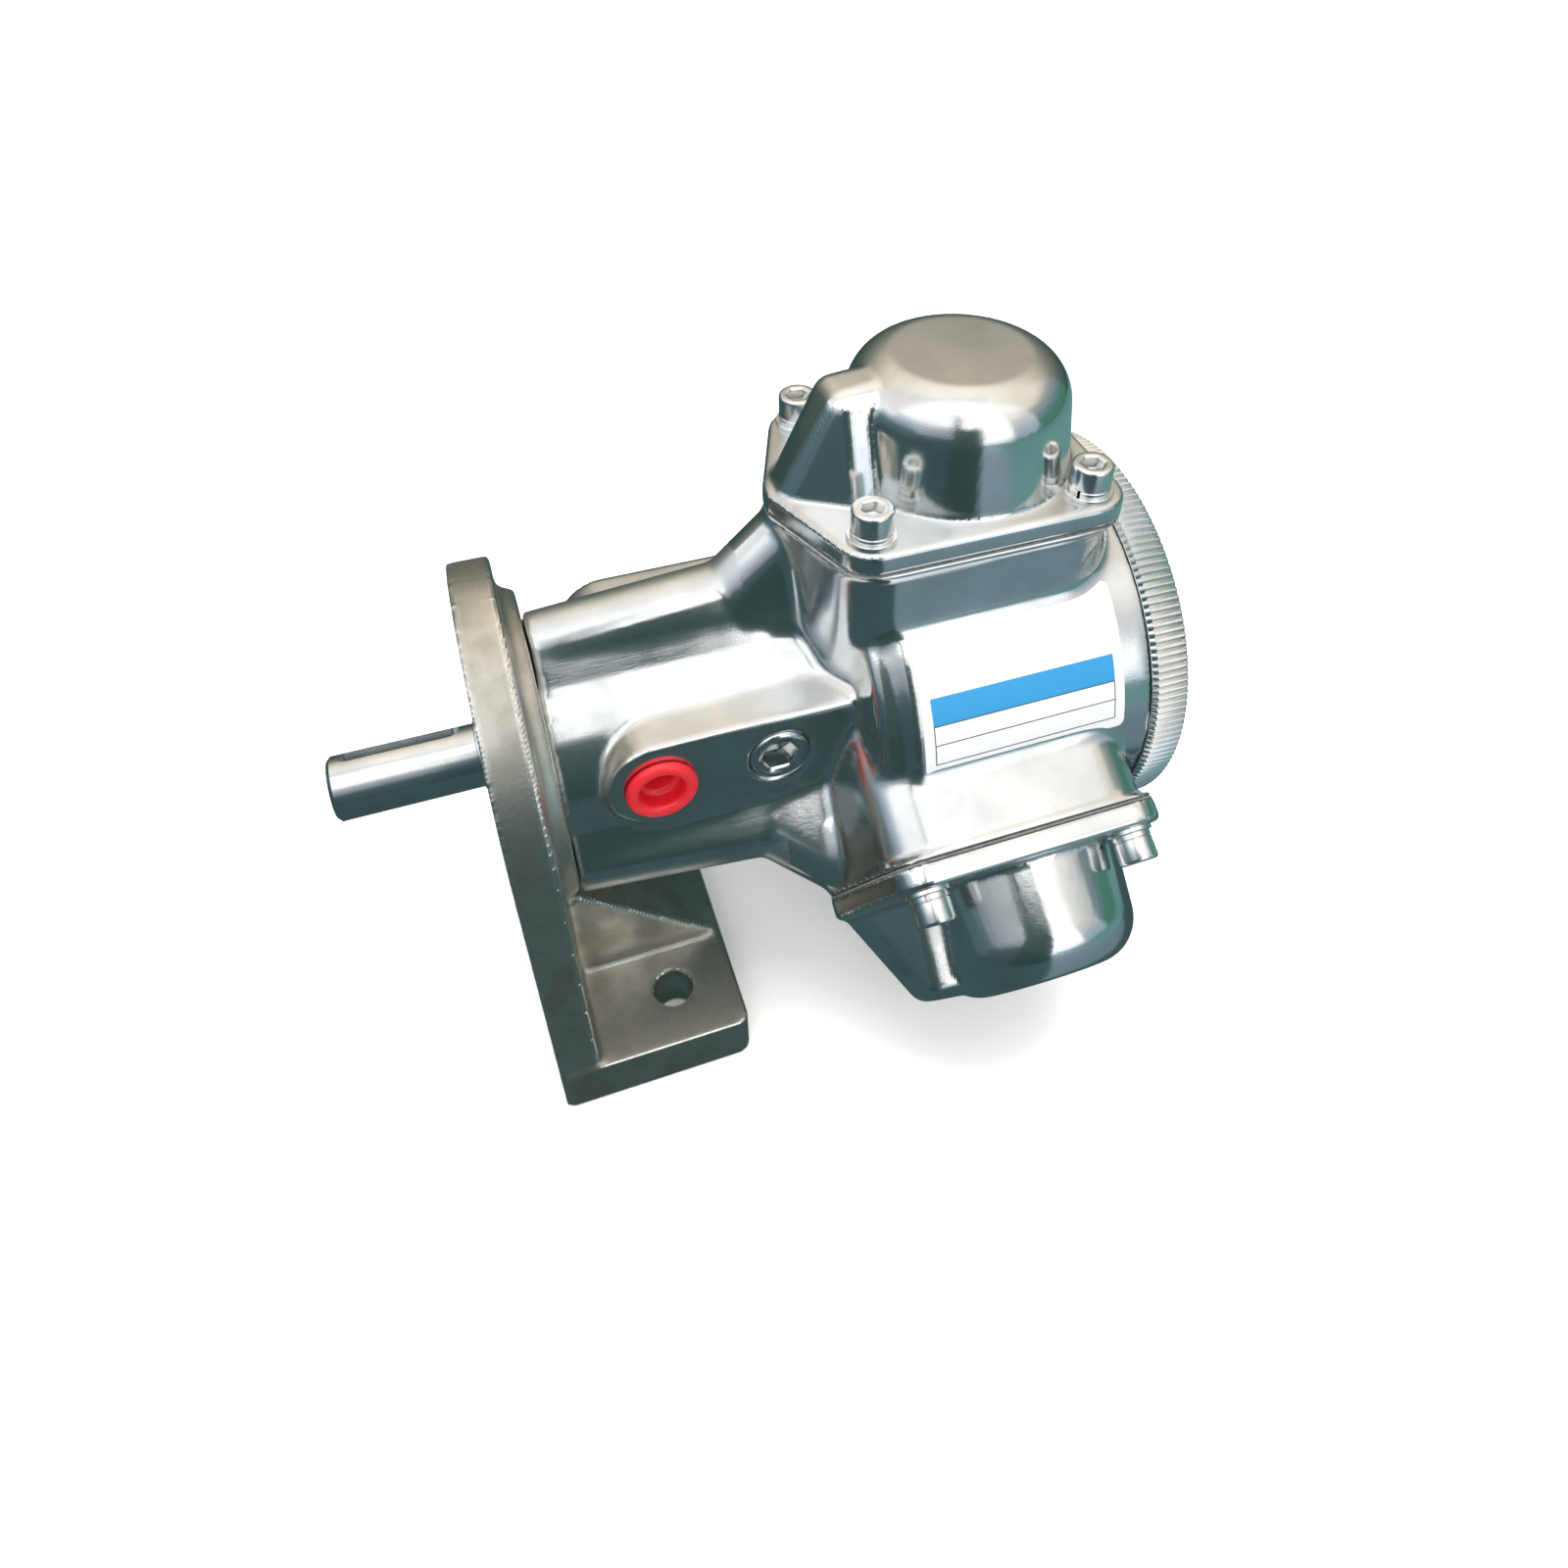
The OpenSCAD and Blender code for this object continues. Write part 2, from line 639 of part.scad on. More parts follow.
module hex_plugs() {
    color(STEEL) for (side = [0, 1]) mirror([0, side, 0])
        translate([hex_plug_x, -port_face, port_z]) rotate([90, 0, 0]) difference() {
            rotate_extrude() polygon([[0, -8.5], [hex_plug_r - 0.6, -8.5], [hex_plug_r, -7.8],
                [hex_plug_r, -0.8], [hex_plug_r - 0.8, 0], [0, 0]]);
            translate([0, 0, -5.5]) cylinder(h = 8, r = 3.5 / cos(30), $fn = 6);
        }
}

// Printed sticker wrapped on the near side of the crankcase
module label() {
    lower = 9.5;
    span = 41.3;
    width = 46.4;
    color("white") translate([84.5, 0, 0]) rotate([0, 90, 0]) rotate([0, 0, 180 + 90 - lower - span])
        rotate_extrude(angle = span, $fn = 96) polygon([
            [case_r, 0], [case_r + 0.15, 0], [case_r + 0.15, width], [case_r, width]
        ]);
}

foot_bracket();
housing();
shaft_seal();
front_bearing();
rear_bearing();
front_bearing_race();
rear_bearing_race();
crankshaft();
valve_spool();
valve_sleeve();
crankpin_bearing();
crankpin_washer();
crankpin_screw();
connecting_rod(0);  // connecting_rod_1
connecting_rod(1);  // connecting_rod_2
connecting_rod(2);  // connecting_rod_3
wrist_pin(0);  // wrist_pin_1
wrist_pin(1);  // wrist_pin_2
wrist_pin(2);  // wrist_pin_3
rod_retaining_rings();
piston(0);  // piston_1
piston(1);  // piston_2
piston(2);  // piston_3
piston_rings(0);  // piston_rings_1
piston_rings(1);  // piston_rings_2
piston_rings(2);  // piston_rings_3
cylinder_liner(0);  // cylinder_liner_1
cylinder_liner(1);  // cylinder_liner_2
cylinder_liner(2);  // cylinder_liner_3
cover_gasket(0);  // cover_gasket_1
cover_gasket(1);  // cover_gasket_2
cover_gasket(2);  // cover_gasket_3
cylinder_cover(0);  // cylinder_cover_1
cylinder_cover(1);  // cylinder_cover_2
cylinder_cover(2);  // cylinder_cover_3
flat_washers(0);  // flat_washers_1
flat_washers(1);  // flat_washers_2
flat_washers(2);  // flat_washers_3
spring_washers(0);  // spring_washers_1
spring_washers(1);  // spring_washers_2
spring_washers(2);  // spring_washers_3
cover_screws(0);  // cover_screws_1
cover_screws(1);  // cover_screws_2
cover_screws(2);  // cover_screws_3
bracket_screws();
rear_cap();
rear_cap_seal();
port_plugs();
hex_plugs();
label();
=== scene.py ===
"""Looks of a three-cylinder piston air motor: polished aluminium castings, bright screws, red port caps and a
blank sticker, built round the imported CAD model. Lengths are in metres, and MM is one millimetre."""

import math

import bmesh
import bpy
import numpy as np
from mathutils import Matrix, Vector


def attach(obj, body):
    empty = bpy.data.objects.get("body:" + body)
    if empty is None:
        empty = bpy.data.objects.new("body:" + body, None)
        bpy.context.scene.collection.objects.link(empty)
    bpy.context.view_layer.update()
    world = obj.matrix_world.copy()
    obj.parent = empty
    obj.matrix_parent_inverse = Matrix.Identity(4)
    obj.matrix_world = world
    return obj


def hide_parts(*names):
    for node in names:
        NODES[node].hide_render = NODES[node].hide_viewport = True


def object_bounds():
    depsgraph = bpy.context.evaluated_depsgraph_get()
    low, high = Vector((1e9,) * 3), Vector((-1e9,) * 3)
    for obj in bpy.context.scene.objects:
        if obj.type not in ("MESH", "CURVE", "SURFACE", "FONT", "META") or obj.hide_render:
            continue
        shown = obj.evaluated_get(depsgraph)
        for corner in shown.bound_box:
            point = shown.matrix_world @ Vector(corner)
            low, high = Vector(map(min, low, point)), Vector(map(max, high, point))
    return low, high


MM = 0.001
CYLINDERS = (1, 2, 3)

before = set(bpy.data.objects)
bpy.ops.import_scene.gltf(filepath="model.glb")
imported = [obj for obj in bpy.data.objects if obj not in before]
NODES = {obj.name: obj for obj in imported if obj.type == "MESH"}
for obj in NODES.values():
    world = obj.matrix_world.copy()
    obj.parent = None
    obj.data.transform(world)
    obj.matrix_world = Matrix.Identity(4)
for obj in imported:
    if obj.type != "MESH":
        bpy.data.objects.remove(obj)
CAD_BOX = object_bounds()

# Sizes of the real motor that the pieces below share
CYLINDER_X = 105.8 * MM
COVER_TOP = 55.3 * MM
DOME_TOP = 79.8 * MM
JOINT_PLANE = 50.0 * MM
CASE_RADIUS = 44.2 * MM
CASE_END = 138.5 * MM
CAP_RADIUS = 45.9 * MM
CAP_TEETH = 172
PORT_FACE = 28.4 * MM
PORT_X = 32.4 * MM
PORT_Z = 7.6 * MM
PORT_BLOCK_RADIUS = 11.2 * MM
HEX_PLUG_X = 57.9 * MM
SCREW_X = (79.0 * MM, 126.1 * MM)
SCREW_Y = 22.0 * MM
FLAT_WASHER = 1.0 * MM
SPLIT_WASHER = 1.2 * MM
BRACKET_SCREW_RADIUS = 22.3 * MM
BRACKET_SCREW_SEAT = 6.0 * MM


def colour(code):
    """Linear RGBA of an sRGB hex colour."""
    channels = [int(code[i:i + 2], 16) / 255 for i in (1, 3, 5)]
    return [c / 12.92 if c <= 0.04045 else ((c + 0.055) / 1.055) ** 2.4 for c in channels] + [1.0]


# Meshes

def new_piece(name, shape, smooth_angle=35):
    """Object made of a bmesh, shaded smooth but for edges sharper than smooth_angle."""
    mesh = bpy.data.meshes.new(name)
    shape.to_mesh(mesh)
    shape.free()
    piece = bpy.data.objects.new(name, mesh)
    bpy.context.scene.collection.objects.link(piece)
    mesh.shade_smooth()
    mesh.set_sharp_from_angle(angle=math.radians(smooth_angle))
    return piece


def cad_shape(node):
    """Closed bmesh of a CAD node, with its loose triangles merged."""
    shape = bmesh.new()
    shape.from_mesh(NODES[node].data)
    bmesh.ops.remove_doubles(shape, verts=shape.verts, dist=2e-6)
    return shape


def turn(number):
    """Turn about the shaft that takes the top cylinder to cylinder number."""
    return Matrix.Rotation(math.radians(120 * (number - 1)), 4, "X")


def facing_side(x, side, z):
    """Place of a plug on a port face: its axis, the shape's Z, points out of the motor's side."""
    return Matrix.Translation((x, side * PORT_FACE, z)) @ Matrix.Rotation(math.radians(-90 * side), 4, "X")


def read_points(mesh):
    flat = np.empty(len(mesh.vertices) * 3)
    mesh.vertices.foreach_get("co", flat)
    return flat.reshape(-1, 3)


def drift_of(mesh, points):
    """How far each point lies from the middle of its neighbours, and how much of that is outward."""
    count = len(points)
    ends = np.empty(len(mesh.edges) * 2, dtype=np.int64)
    mesh.edges.foreach_get("vertices", ends)
    a, b = ends[0::2], ends[1::2]
    links = np.bincount(ends, minlength=count)[:, None]
    total = np.stack([
        np.bincount(a, points[b, k], count) + np.bincount(b, points[a, k], count) for k in range(3)
    ], axis=1)
    drift = total / links - points
    normals = np.empty(count * 3)
    mesh.vertex_normals.foreach_get("vector", normals)
    return drift, (drift * normals.reshape(-1, 3)).sum(axis=1, keepdims=True)


def ease(piece, rounds, hollow, crest):
    """Fills hollow corners into cast fillets and wears crests round, by shares that may differ by place."""
    mesh = piece.data
    points = read_points(mesh)
    for _ in range(rounds):
        drift, outward = drift_of(mesh, points)
        points += drift * np.where(outward > 0, hollow, crest)
        mesh.vertices.foreach_set("co", points.ravel())
        mesh.update()


def mark(piece, name, share):
    """Keeps a share from 0 to 1 for each point, for the finish to read."""
    kept = piece.data.attributes.new(name, "FLOAT", "POINT")
    kept.data.foreach_set("value", np.clip(share, 0, 1).astype(np.float32))


def mark_edges(piece, least, most):
    """Marks edges for a lighter, smoother finish that is partly rubbed wear and partly a painted highlight:
    points that stand out from their neighbours by least to most.
    """
    outward = drift_of(piece.data, read_points(piece.data))[1].ravel()
    mark(piece, "edge_wear_and_highlight", (-outward - least) / (most - least))


def settle(piece):
    """Makes the mesh that a piece's modifiers give its own."""
    graph = bpy.context.evaluated_depsgraph_get()
    piece.data = bpy.data.meshes.new_from_object(piece.evaluated_get(graph), depsgraph=graph)
    piece.modifiers.clear()


def casting(name, node, voxel):
    """Copy of a CAD node as one skin of even small faces, ready to be eased."""
    piece = new_piece(name, cad_shape(node))
    skin = piece.modifiers.new("skin", "REMESH")
    skin.mode = "VOXEL"
    skin.voxel_size = voxel
    settle(piece)
    return piece


def turned_form(shape, rings, segments, place=Matrix.Identity(4), closed=False):
    """Adds a turned form: one round edge loop, extruded from ring to ring. A ring is (radius, height), and
    its radius may be a function of the angle. The ends are filled, or meet when closed is true."""
    loop = bmesh.ops.create_circle(shape, segments=segments, radius=1.0)["verts"]
    edges = list({e for v in loop for e in v.link_edges})
    everything = list(loop)
    first = list(edges)
    for number, (radius, height) in enumerate(rings):
        if number:
            grown = bmesh.ops.extrude_edge_only(shape, edges=edges)["geom"]
            loop = [g for g in grown if isinstance(g, bmesh.types.BMVert)]
            fresh = set(loop)
            edges = [g for g in grown if isinstance(g, bmesh.types.BMEdge) and set(g.verts) <= fresh]
            everything += loop
        for v in loop:
            a = math.atan2(v.co.y, v.co.x)
            r = radius(a) if callable(radius) else radius
            v.co = (r * math.cos(a), r * math.sin(a), height)
    if closed:
        bmesh.ops.remove_doubles(shape, verts=everything, dist=1e-6)
        everything = [v for v in everything if v.is_valid]
    else:
        for end in (first, edges):
            bmesh.ops.contextual_create(shape, geom=end)
    bmesh.ops.transform(shape, matrix=place, verts=everything)


def in_mm(rings):
    return [(radius if callable(radius) else radius * MM, height * MM) for radius, height in rings]


def finish_piece(name, shape, smooth_angle=35):
    bmesh.ops.recalc_face_normals(shape, faces=shape.faces)
    return new_piece(name, shape, smooth_angle)


def hexagon(across_flats):
    """Radius of a hexagon at an angle, its corners on multiples of 60 degrees."""
    sixth = math.pi / 3
    return lambda a: across_flats * MM / 2 / math.cos(a % sixth - sixth / 2)


KNURL_STEPS = 4


def knurl(radius, depth):
    """Radius of a straight knurl, with one deep point, one crest and two slopes to each tooth."""
    step = 2 * math.pi / (CAP_TEETH * KNURL_STEPS)
    sunk = (1.0, 0.35, 0.0, 0.35)
    return lambda a: (radius - depth * sunk[round(a / step) % KNURL_STEPS]) * MM


# Materials

def add(tree, kind, settings=None, inputs=None):
    """Adds a node with its settings, and sets or links its inputs."""
    node = tree.nodes.new(kind)
    for key, value in (settings or {}).items():
        setattr(node, key, value)
    for key, value in (inputs or {}).items():
        if isinstance(value, bpy.types.NodeSocket):
            tree.links.new(value, node.inputs[key])
        else:
            node.inputs[key].default_value = value
    return node


def bare_material(name):
    """New material with no node in its tree, and the tree."""
    material = bpy.data.materials.new(name)
    material.use_nodes = True
    material.node_tree.nodes.clear()
    return material, material.node_tree


def surface(name, pale, dull, rough, metallic=0.0, haze=5.0, scratches=None, grain=(0.5, 0.003, 0.03),
            wave=None, turned=False, satin=None, edge_wear_and_highlight=None, settings=None):
    """Finish with blots of haze mm that run from the pale to the dull colour and from the lower to the higher
    roughness. scratches is (draw along each axis, mm wide, mm deep, roughness), grain (mm wide, mm deep,
    roughness), wave (mm wide, mm deep), satin the roughness where the piece is marked satin, and
    edge_wear_and_highlight the lighter colour and roughness where its edges are marked: partly rubbed wear,
    partly a painted highlight. Turned stock has its scratches in rings about the shaft."""
    material, tree = bare_material(name)
    shader = add(tree, "ShaderNodeBsdfPrincipled", inputs={"Metallic": metallic, **(settings or {})})
    add(tree, "ShaderNodeOutputMaterial", inputs={"Surface": shader.outputs[0]})
    place = add(tree, "ShaderNodeTexCoord").outputs["Object"]

    blots = add(tree, "ShaderNodeTexNoise", inputs={"Vector": place, "Scale": 1 / (haze * MM), "Detail": 4.0})
    share = add(tree, "ShaderNodeMapRange", inputs={
        "Value": blots.outputs["Fac"], "From Min": 0.32, "From Max": 0.68})
    tone = add(tree, "ShaderNodeMix", {"data_type": "RGBA"},
               {"Factor": share.outputs["Result"], "A": colour(pale), "B": colour(dull)}).outputs["Result"]
    smear = add(tree, "ShaderNodeMapRange", inputs={
        "Value": share.outputs["Result"], "To Min": rough[0], "To Max": rough[1]}).outputs["Result"]

    bumps = []
    if wave:
        slow = add(tree, "ShaderNodeTexNoise", inputs={
            "Vector": place, "Scale": 1 / (wave[0] * MM), "Detail": 1.0})
        bumps.append((slow.outputs["Fac"], wave[1]))
    if scratches:
        draw, width, depth, spread = scratches
        along = place
        if turned:
            across = add(tree, "ShaderNodeVectorMath", {"operation": "MULTIPLY"}, {0: place, 1: (0, 1, 1)})
            radius = add(tree, "ShaderNodeVectorMath", {"operation": "LENGTH"}, {0: across.outputs[0]})
            split = add(tree, "ShaderNodeSeparateXYZ", inputs={"Vector": place})
            along = add(tree, "ShaderNodeCombineXYZ", inputs={
                "X": split.outputs[0], "Y": radius.outputs["Value"]}).outputs[0]
        scale = [1 / (width * MM * d) for d in draw]
        drawn = add(tree, "ShaderNodeMapping", inputs={"Vector": along, "Scale": scale})
        lines = add(tree, "ShaderNodeTexNoise", inputs={
            "Vector": drawn.outputs[0], "Scale": 1.0, "Detail": 3.0}).outputs["Fac"]
        bumps.append((lines, depth))
        smear = add(tree, "ShaderNodeMath", {"operation": "MULTIPLY_ADD"},
                    {0: lines, 1: spread, 2: smear}).outputs[0]
    fine = add(tree, "ShaderNodeTexNoise", inputs={
        "Vector": place, "Scale": 1 / (grain[0] * MM), "Detail": 2.0})
    bumps.append((fine.outputs["Fac"], grain[1]))
    smear = add(tree, "ShaderNodeMath", {"operation": "MULTIPLY_ADD"},
                {0: fine.outputs["Fac"], 1: grain[2], 2: smear}).outputs[0]
    if satin:
        marked = add(tree, "ShaderNodeAttribute", {"attribute_name": "satin"})
        smear = add(tree, "ShaderNodeMix", {"data_type": "FLOAT"},
                    {"Factor": marked.outputs["Fac"], "A": smear, "B": satin}).outputs["Result"]
    # Marked edges get a lighter colour and lower roughness: partly rubbed wear, partly a painted highlight
    if edge_wear_and_highlight:
        marked = add(tree, "ShaderNodeAttribute", {"attribute_name": "edge_wear_and_highlight"})
        broken = add(tree, "ShaderNodeMapRange", inputs={
            "Value": fine.outputs["Fac"], "From Min": 0.35, "From Max": 0.55, "To Min": 0.35})
        edge = add(tree, "ShaderNodeMath", {"operation": "MULTIPLY"},
                   {0: marked.outputs["Fac"], 1: broken.outputs["Result"]}).outputs[0]
        tone = add(tree, "ShaderNodeMix", {"data_type": "RGBA"},
                   {"Factor": edge, "A": tone, "B": colour(edge_wear_and_highlight[0])}).outputs["Result"]
        smear = add(tree, "ShaderNodeMix", {"data_type": "FLOAT"},
                    {"Factor": edge, "A": smear, "B": edge_wear_and_highlight[1]}).outputs["Result"]
    tree.links.new(tone, shader.inputs["Base Color"])
    tree.links.new(smear, shader.inputs["Roughness"])
    below = {}
    for height, depth in bumps:
        bump = add(tree, "ShaderNodeBump", inputs={
            "Height": height, "Distance": depth * MM, "Strength": 1.0, **below})
        below = {"Normal": bump.outputs[0]}
    tree.links.new(bump.outputs[0], shader.inputs["Normal"])
    return material


# Cast aluminium, ground and polished by hand: mirror patches between hazy ones, a drag of fine scratches
# along the shaft and a slow waviness that bends the reflections. Crests and flats that were only linished
# stay satin.
POLISHED = surface(
    "hand-polished cast aluminium", "#e9eaea", "#d3d5d5", (0.05, 0.14), metallic=1.0, haze=14,
    scratches=((12, 1, 1), 0.45, 0.008, 0.10), grain=(0.6, 0.006, 0.05), wave=(8, 0.05), satin=0.36)
# The same metal buffed on the covers, which mirror the room almost sharply but for their satin flats
COVER_METAL = surface(
    "buffed cast aluminium", "#ecedec", "#d8dad9", (0.05, 0.12), metallic=1.0, haze=12,
    scratches=((4, 4, 1), 0.4, 0.005, 0.08), grain=(0.5, 0.004, 0.04), wave=(9, 0.04), satin=0.32)
# Milled and linished cast aluminium of the bracket: matte beside the motor, with tool marks, and lighter
# edges that are partly rubbed wear and partly a painted highlight
FACED = surface(
    "linished cast aluminium", "#dad7cf", "#b3b0a6", (0.25, 0.38), metallic=1.0, haze=9,
    scratches=((1, 12, 1), 0.5, 0.016, 0.14), grain=(0.7, 0.014, 0.08), edge_wear_and_highlight=("#f6f3ee", 0.24))
# Ground steel keeps faint rings round its axis, and rolled screws and turned plugs an even haze
SHAFT_STEEL = surface("ground shaft steel", "#e2e4e5", "#d6d9db", (0.10, 0.15), metallic=1.0,
                      scratches=((1, 1, 1), 0.35, 0.003, 0.06), turned=True)
SCREW_STEEL = surface("bright rolled screw steel", "#f1f2f2", "#e6e7e7", (0.18, 0.26), metallic=1.0)
PLUG_STEEL = surface("turned plug steel", "#e8eaea", "#dadcdc", (0.12, 0.18), metallic=1.0)
# Knurled rim and faced back of the rear cap, with the facing tool's rings
KNURL_METAL = surface("knurled bright aluminium", "#f1f2f1", "#e4e5e4", (0.16, 0.22), metallic=1.0,
                      scratches=((1, 1, 1), 0.45, 0.006, 0.10), turned=True)
# Machined and filled parts inside the motor, which show only when it is taken apart
BEARING_STEEL = surface("ground bearing steel", "#b9bcbe", "#adb0b2", (0.16, 0.22), metallic=1.0)
INNER_METAL = surface("machined aluminium", "#c9cbcc", "#bbbdbe", (0.26, 0.34), metallic=1.0)
LINER_IRON = surface("honed cast iron", "#7c7d7f", "#6c6d6f", (0.30, 0.38), metallic=1.0)
BRONZE = surface("bearing bronze", "#b48a52", "#a57c46", (0.25, 0.33), metallic=1.0)
RING_FILLED = surface("filled ring polymer", "#2a2a2c", "#222224", (0.40, 0.48))
# Seals: dull black rubber with a fine grain, and a pressed sheet with fibres
RUBBER = surface("nitrile rubber", "#1c1c1c", "#151515", (0.50, 0.58), grain=(0.4, 0.008, 0.05))
GASKET = surface("pressed gasket sheet", "#777b7b", "#5c6060", (0.62, 0.72), haze=1.5,
                 grain=(0.3, 0.02, 0.05))
# Soft moulded polythene cap: it glows a little where it is thin, and shines with a faint waviness
CAP_RED = surface("moulded red cap", "#e3202f", "#dc1b2b", (0.28, 0.36), grain=(1.2, 0.004, 0.03), settings={
    "Subsurface Weight": 0.12, "Subsurface Radius": (0.0022, 0.0006, 0.0005), "Subsurface Scale": 1.0,
    "Coat Weight": 0.3, "Coat Roughness": 0.15})

STICKER_SIZE = (46.4 * MM, 32.94 * MM)


def sticker_print():
    """Coated paper with a blue band over two rows of ruled boxes, drawn on the sticker's own map in mm."""
    material = surface(
        "printed coated paper", "#f4f6f8", "#eef1f4", (0.28, 0.36), haze=6, grain=(0.9, 0.006, 0.04),
        settings={"Coat Weight": 0.25, "Coat Roughness": 0.2})
    tree = material.node_tree
    shader = tree.nodes["Principled BSDF"]
    paper = shader.inputs["Base Color"].links[0].from_socket
    spot = add(tree, "ShaderNodeSeparateXYZ", inputs={
        "Vector": add(tree, "ShaderNodeUVMap", {"uv_map": "print"}).outputs[0]})

    def field(box):
        """Share of a box (left, right, low, high) in mm: 1 inside it and 0 outside."""
        inside = None
        for number, edge in enumerate(box):
            side = add(tree, "ShaderNodeMath", {"operation": ("GREATER_THAN", "LESS_THAN")[number % 2]},
                       {0: spot.outputs[number // 2], 1: edge * MM / STICKER_SIZE[number // 2]}).outputs[0]
            if inside:
                side = add(tree, "ShaderNodeMath", {"operation": "MULTIPLY"}, {0: inside, 1: side}).outputs[0]
            inside = side
        return inside

    left, right, rule = 2.2, 44.2, 0.25
    heights = (2.4, 6.9, 11.2)
    rules = [(left, right, height, height + rule) for height in heights]
    rules += [(x, x + rule, heights[0], heights[2]) for x in (left, right - rule)]
    for code, boxes in (("#1f93cf", [(left, right, heights[2], 17.4)]), ("#2b3a48", rules)):
        for box in boxes:
            paper = add(tree, "ShaderNodeMix", {"data_type": "RGBA"},
                        {"Factor": field(box), "A": paper, "B": colour(code)}).outputs["Result"]
    tree.links.new(paper, shader.inputs["Base Color"])
    return material


STICKER = sticker_print()

NODE_FINISH = {
    "front_bearing": BEARING_STEEL, "rear_bearing": BEARING_STEEL, "front_bearing_race": BEARING_STEEL,
    "rear_bearing_race": BEARING_STEEL, "valve_spool": BEARING_STEEL, "valve_sleeve": BRONZE,
    "crankpin_bearing": BRONZE, "crankpin_washer": BEARING_STEEL, "crankpin_screw": SCREW_STEEL,
    "connecting_rod": INNER_METAL, "wrist_pin": BEARING_STEEL, "rod_retaining_rings": BEARING_STEEL,
    "piston": INNER_METAL, "piston_rings": RING_FILLED, "cylinder_liner": LINER_IRON, "cover_gasket": GASKET,
    "foot_bracket": FACED, "housing": POLISHED, "shaft_seal": RUBBER, "crankshaft": SHAFT_STEEL,
    "cylinder_cover": COVER_METAL, "flat_washers": SCREW_STEEL, "spring_washers": SCREW_STEEL,
    "cover_screws": SCREW_STEEL, "bracket_screws": SCREW_STEEL, "rear_cap": KNURL_METAL,
    "rear_cap_seal": RUBBER, "port_plugs": CAP_RED, "hex_plugs": PLUG_STEEL, "label": STICKER,
}
for node_name, node_object in NODES.items():
    stem = node_name[:-2] if node_name[-1].isdigit() else node_name
    for place in node_object.material_slots:
        place.material = NODE_FINISH[stem]


def dress(piece, node, body, finish):
    """Gives a piece its finish, and sets it in a CAD node's place."""
    piece.data.materials.clear()
    piece.data.materials.append(finish)
    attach(piece, body)
    if node:
        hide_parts(node)
    return piece


def on_each_cylinder(name, top, node, finish):
    """Dresses the top cylinder's piece, and copies of it turned to the other two cylinders."""
    for number in CYLINDERS:
        piece = top
        if number > 1:
            piece = bpy.data.objects.new(f"{name}_{number}", top.data.copy())
            bpy.context.scene.collection.objects.link(piece)
            piece.data.transform(turn(number))
        dress(piece, f"{node}_{number}", "frame", finish)


# Castings

HOUSING_VOXEL = 0.8 * MM
COVER_VOXEL = 0.5 * MM
BRACKET_VOXEL = 0.7 * MM
NECK_FRONT = 12.7 * MM
NECK_END = 55.7 * MM
CREST_TOP = (34.3 * MM, 37.8 * MM)
# Places along the shaft, each with the radius that the housing's bores stay within there, in mm
BORE_STEPS = ((12, 20.5), (78, 20.5), (80, 38), (129, 38), (130, 42))
SEAT_RADIUS = 23 * MM
SEAT_START = 20 * MM


def points_in_bores(points):
    """Points of the housing that only its inner parts touch: the shaft's, valve's and crankcase's bores and
    the cylinders' seats."""
    x, y, z = points.T
    radius = np.hypot(y, z)
    widest = np.interp(x, [at * MM for at, _ in BORE_STEPS], [wide * MM for _, wide in BORE_STEPS])
    inside = (radius < widest) & (x > NECK_FRONT + 0.8 * MM)
    for number in CYLINDERS:
        around = math.radians(120 * (number - 1))
        along = z * math.cos(around) - y * math.sin(around)
        across = y * math.cos(around) + z * math.sin(around)
        seat = np.hypot(x - CYLINDER_X, across) < SEAT_RADIUS
        inside |= seat & (along > SEAT_START) & (along < JOINT_PLANE - 1 * MM)
    return inside


def clear_bores(piece, inside, gap):
    """Moves the marked points back into the metal, to leave the moving parts more room."""
    points = read_points(piece.data)
    normals = np.empty(len(points) * 3)
    piece.data.vertex_normals.foreach_get("vector", normals)
    points -= normals.reshape(-1, 3) * inside[:, None] * gap
    piece.data.vertices.foreach_set("co", points.ravel())
    piece.data.update()


def thin_bores(piece, inside, ratio):
    """Thins the faces of the marked points alone, as none of them shows."""
    group = piece.vertex_groups.new(name="bores")
    group.add([int(i) for i in np.flatnonzero(inside)], 1.0, "REPLACE")
    fewer = piece.modifiers.new("fewer", "DECIMATE")
    fewer.vertex_group = "bores"
    fewer.ratio = ratio
    settle(piece)
    piece.vertex_groups.clear()
    piece.data.shade_smooth()


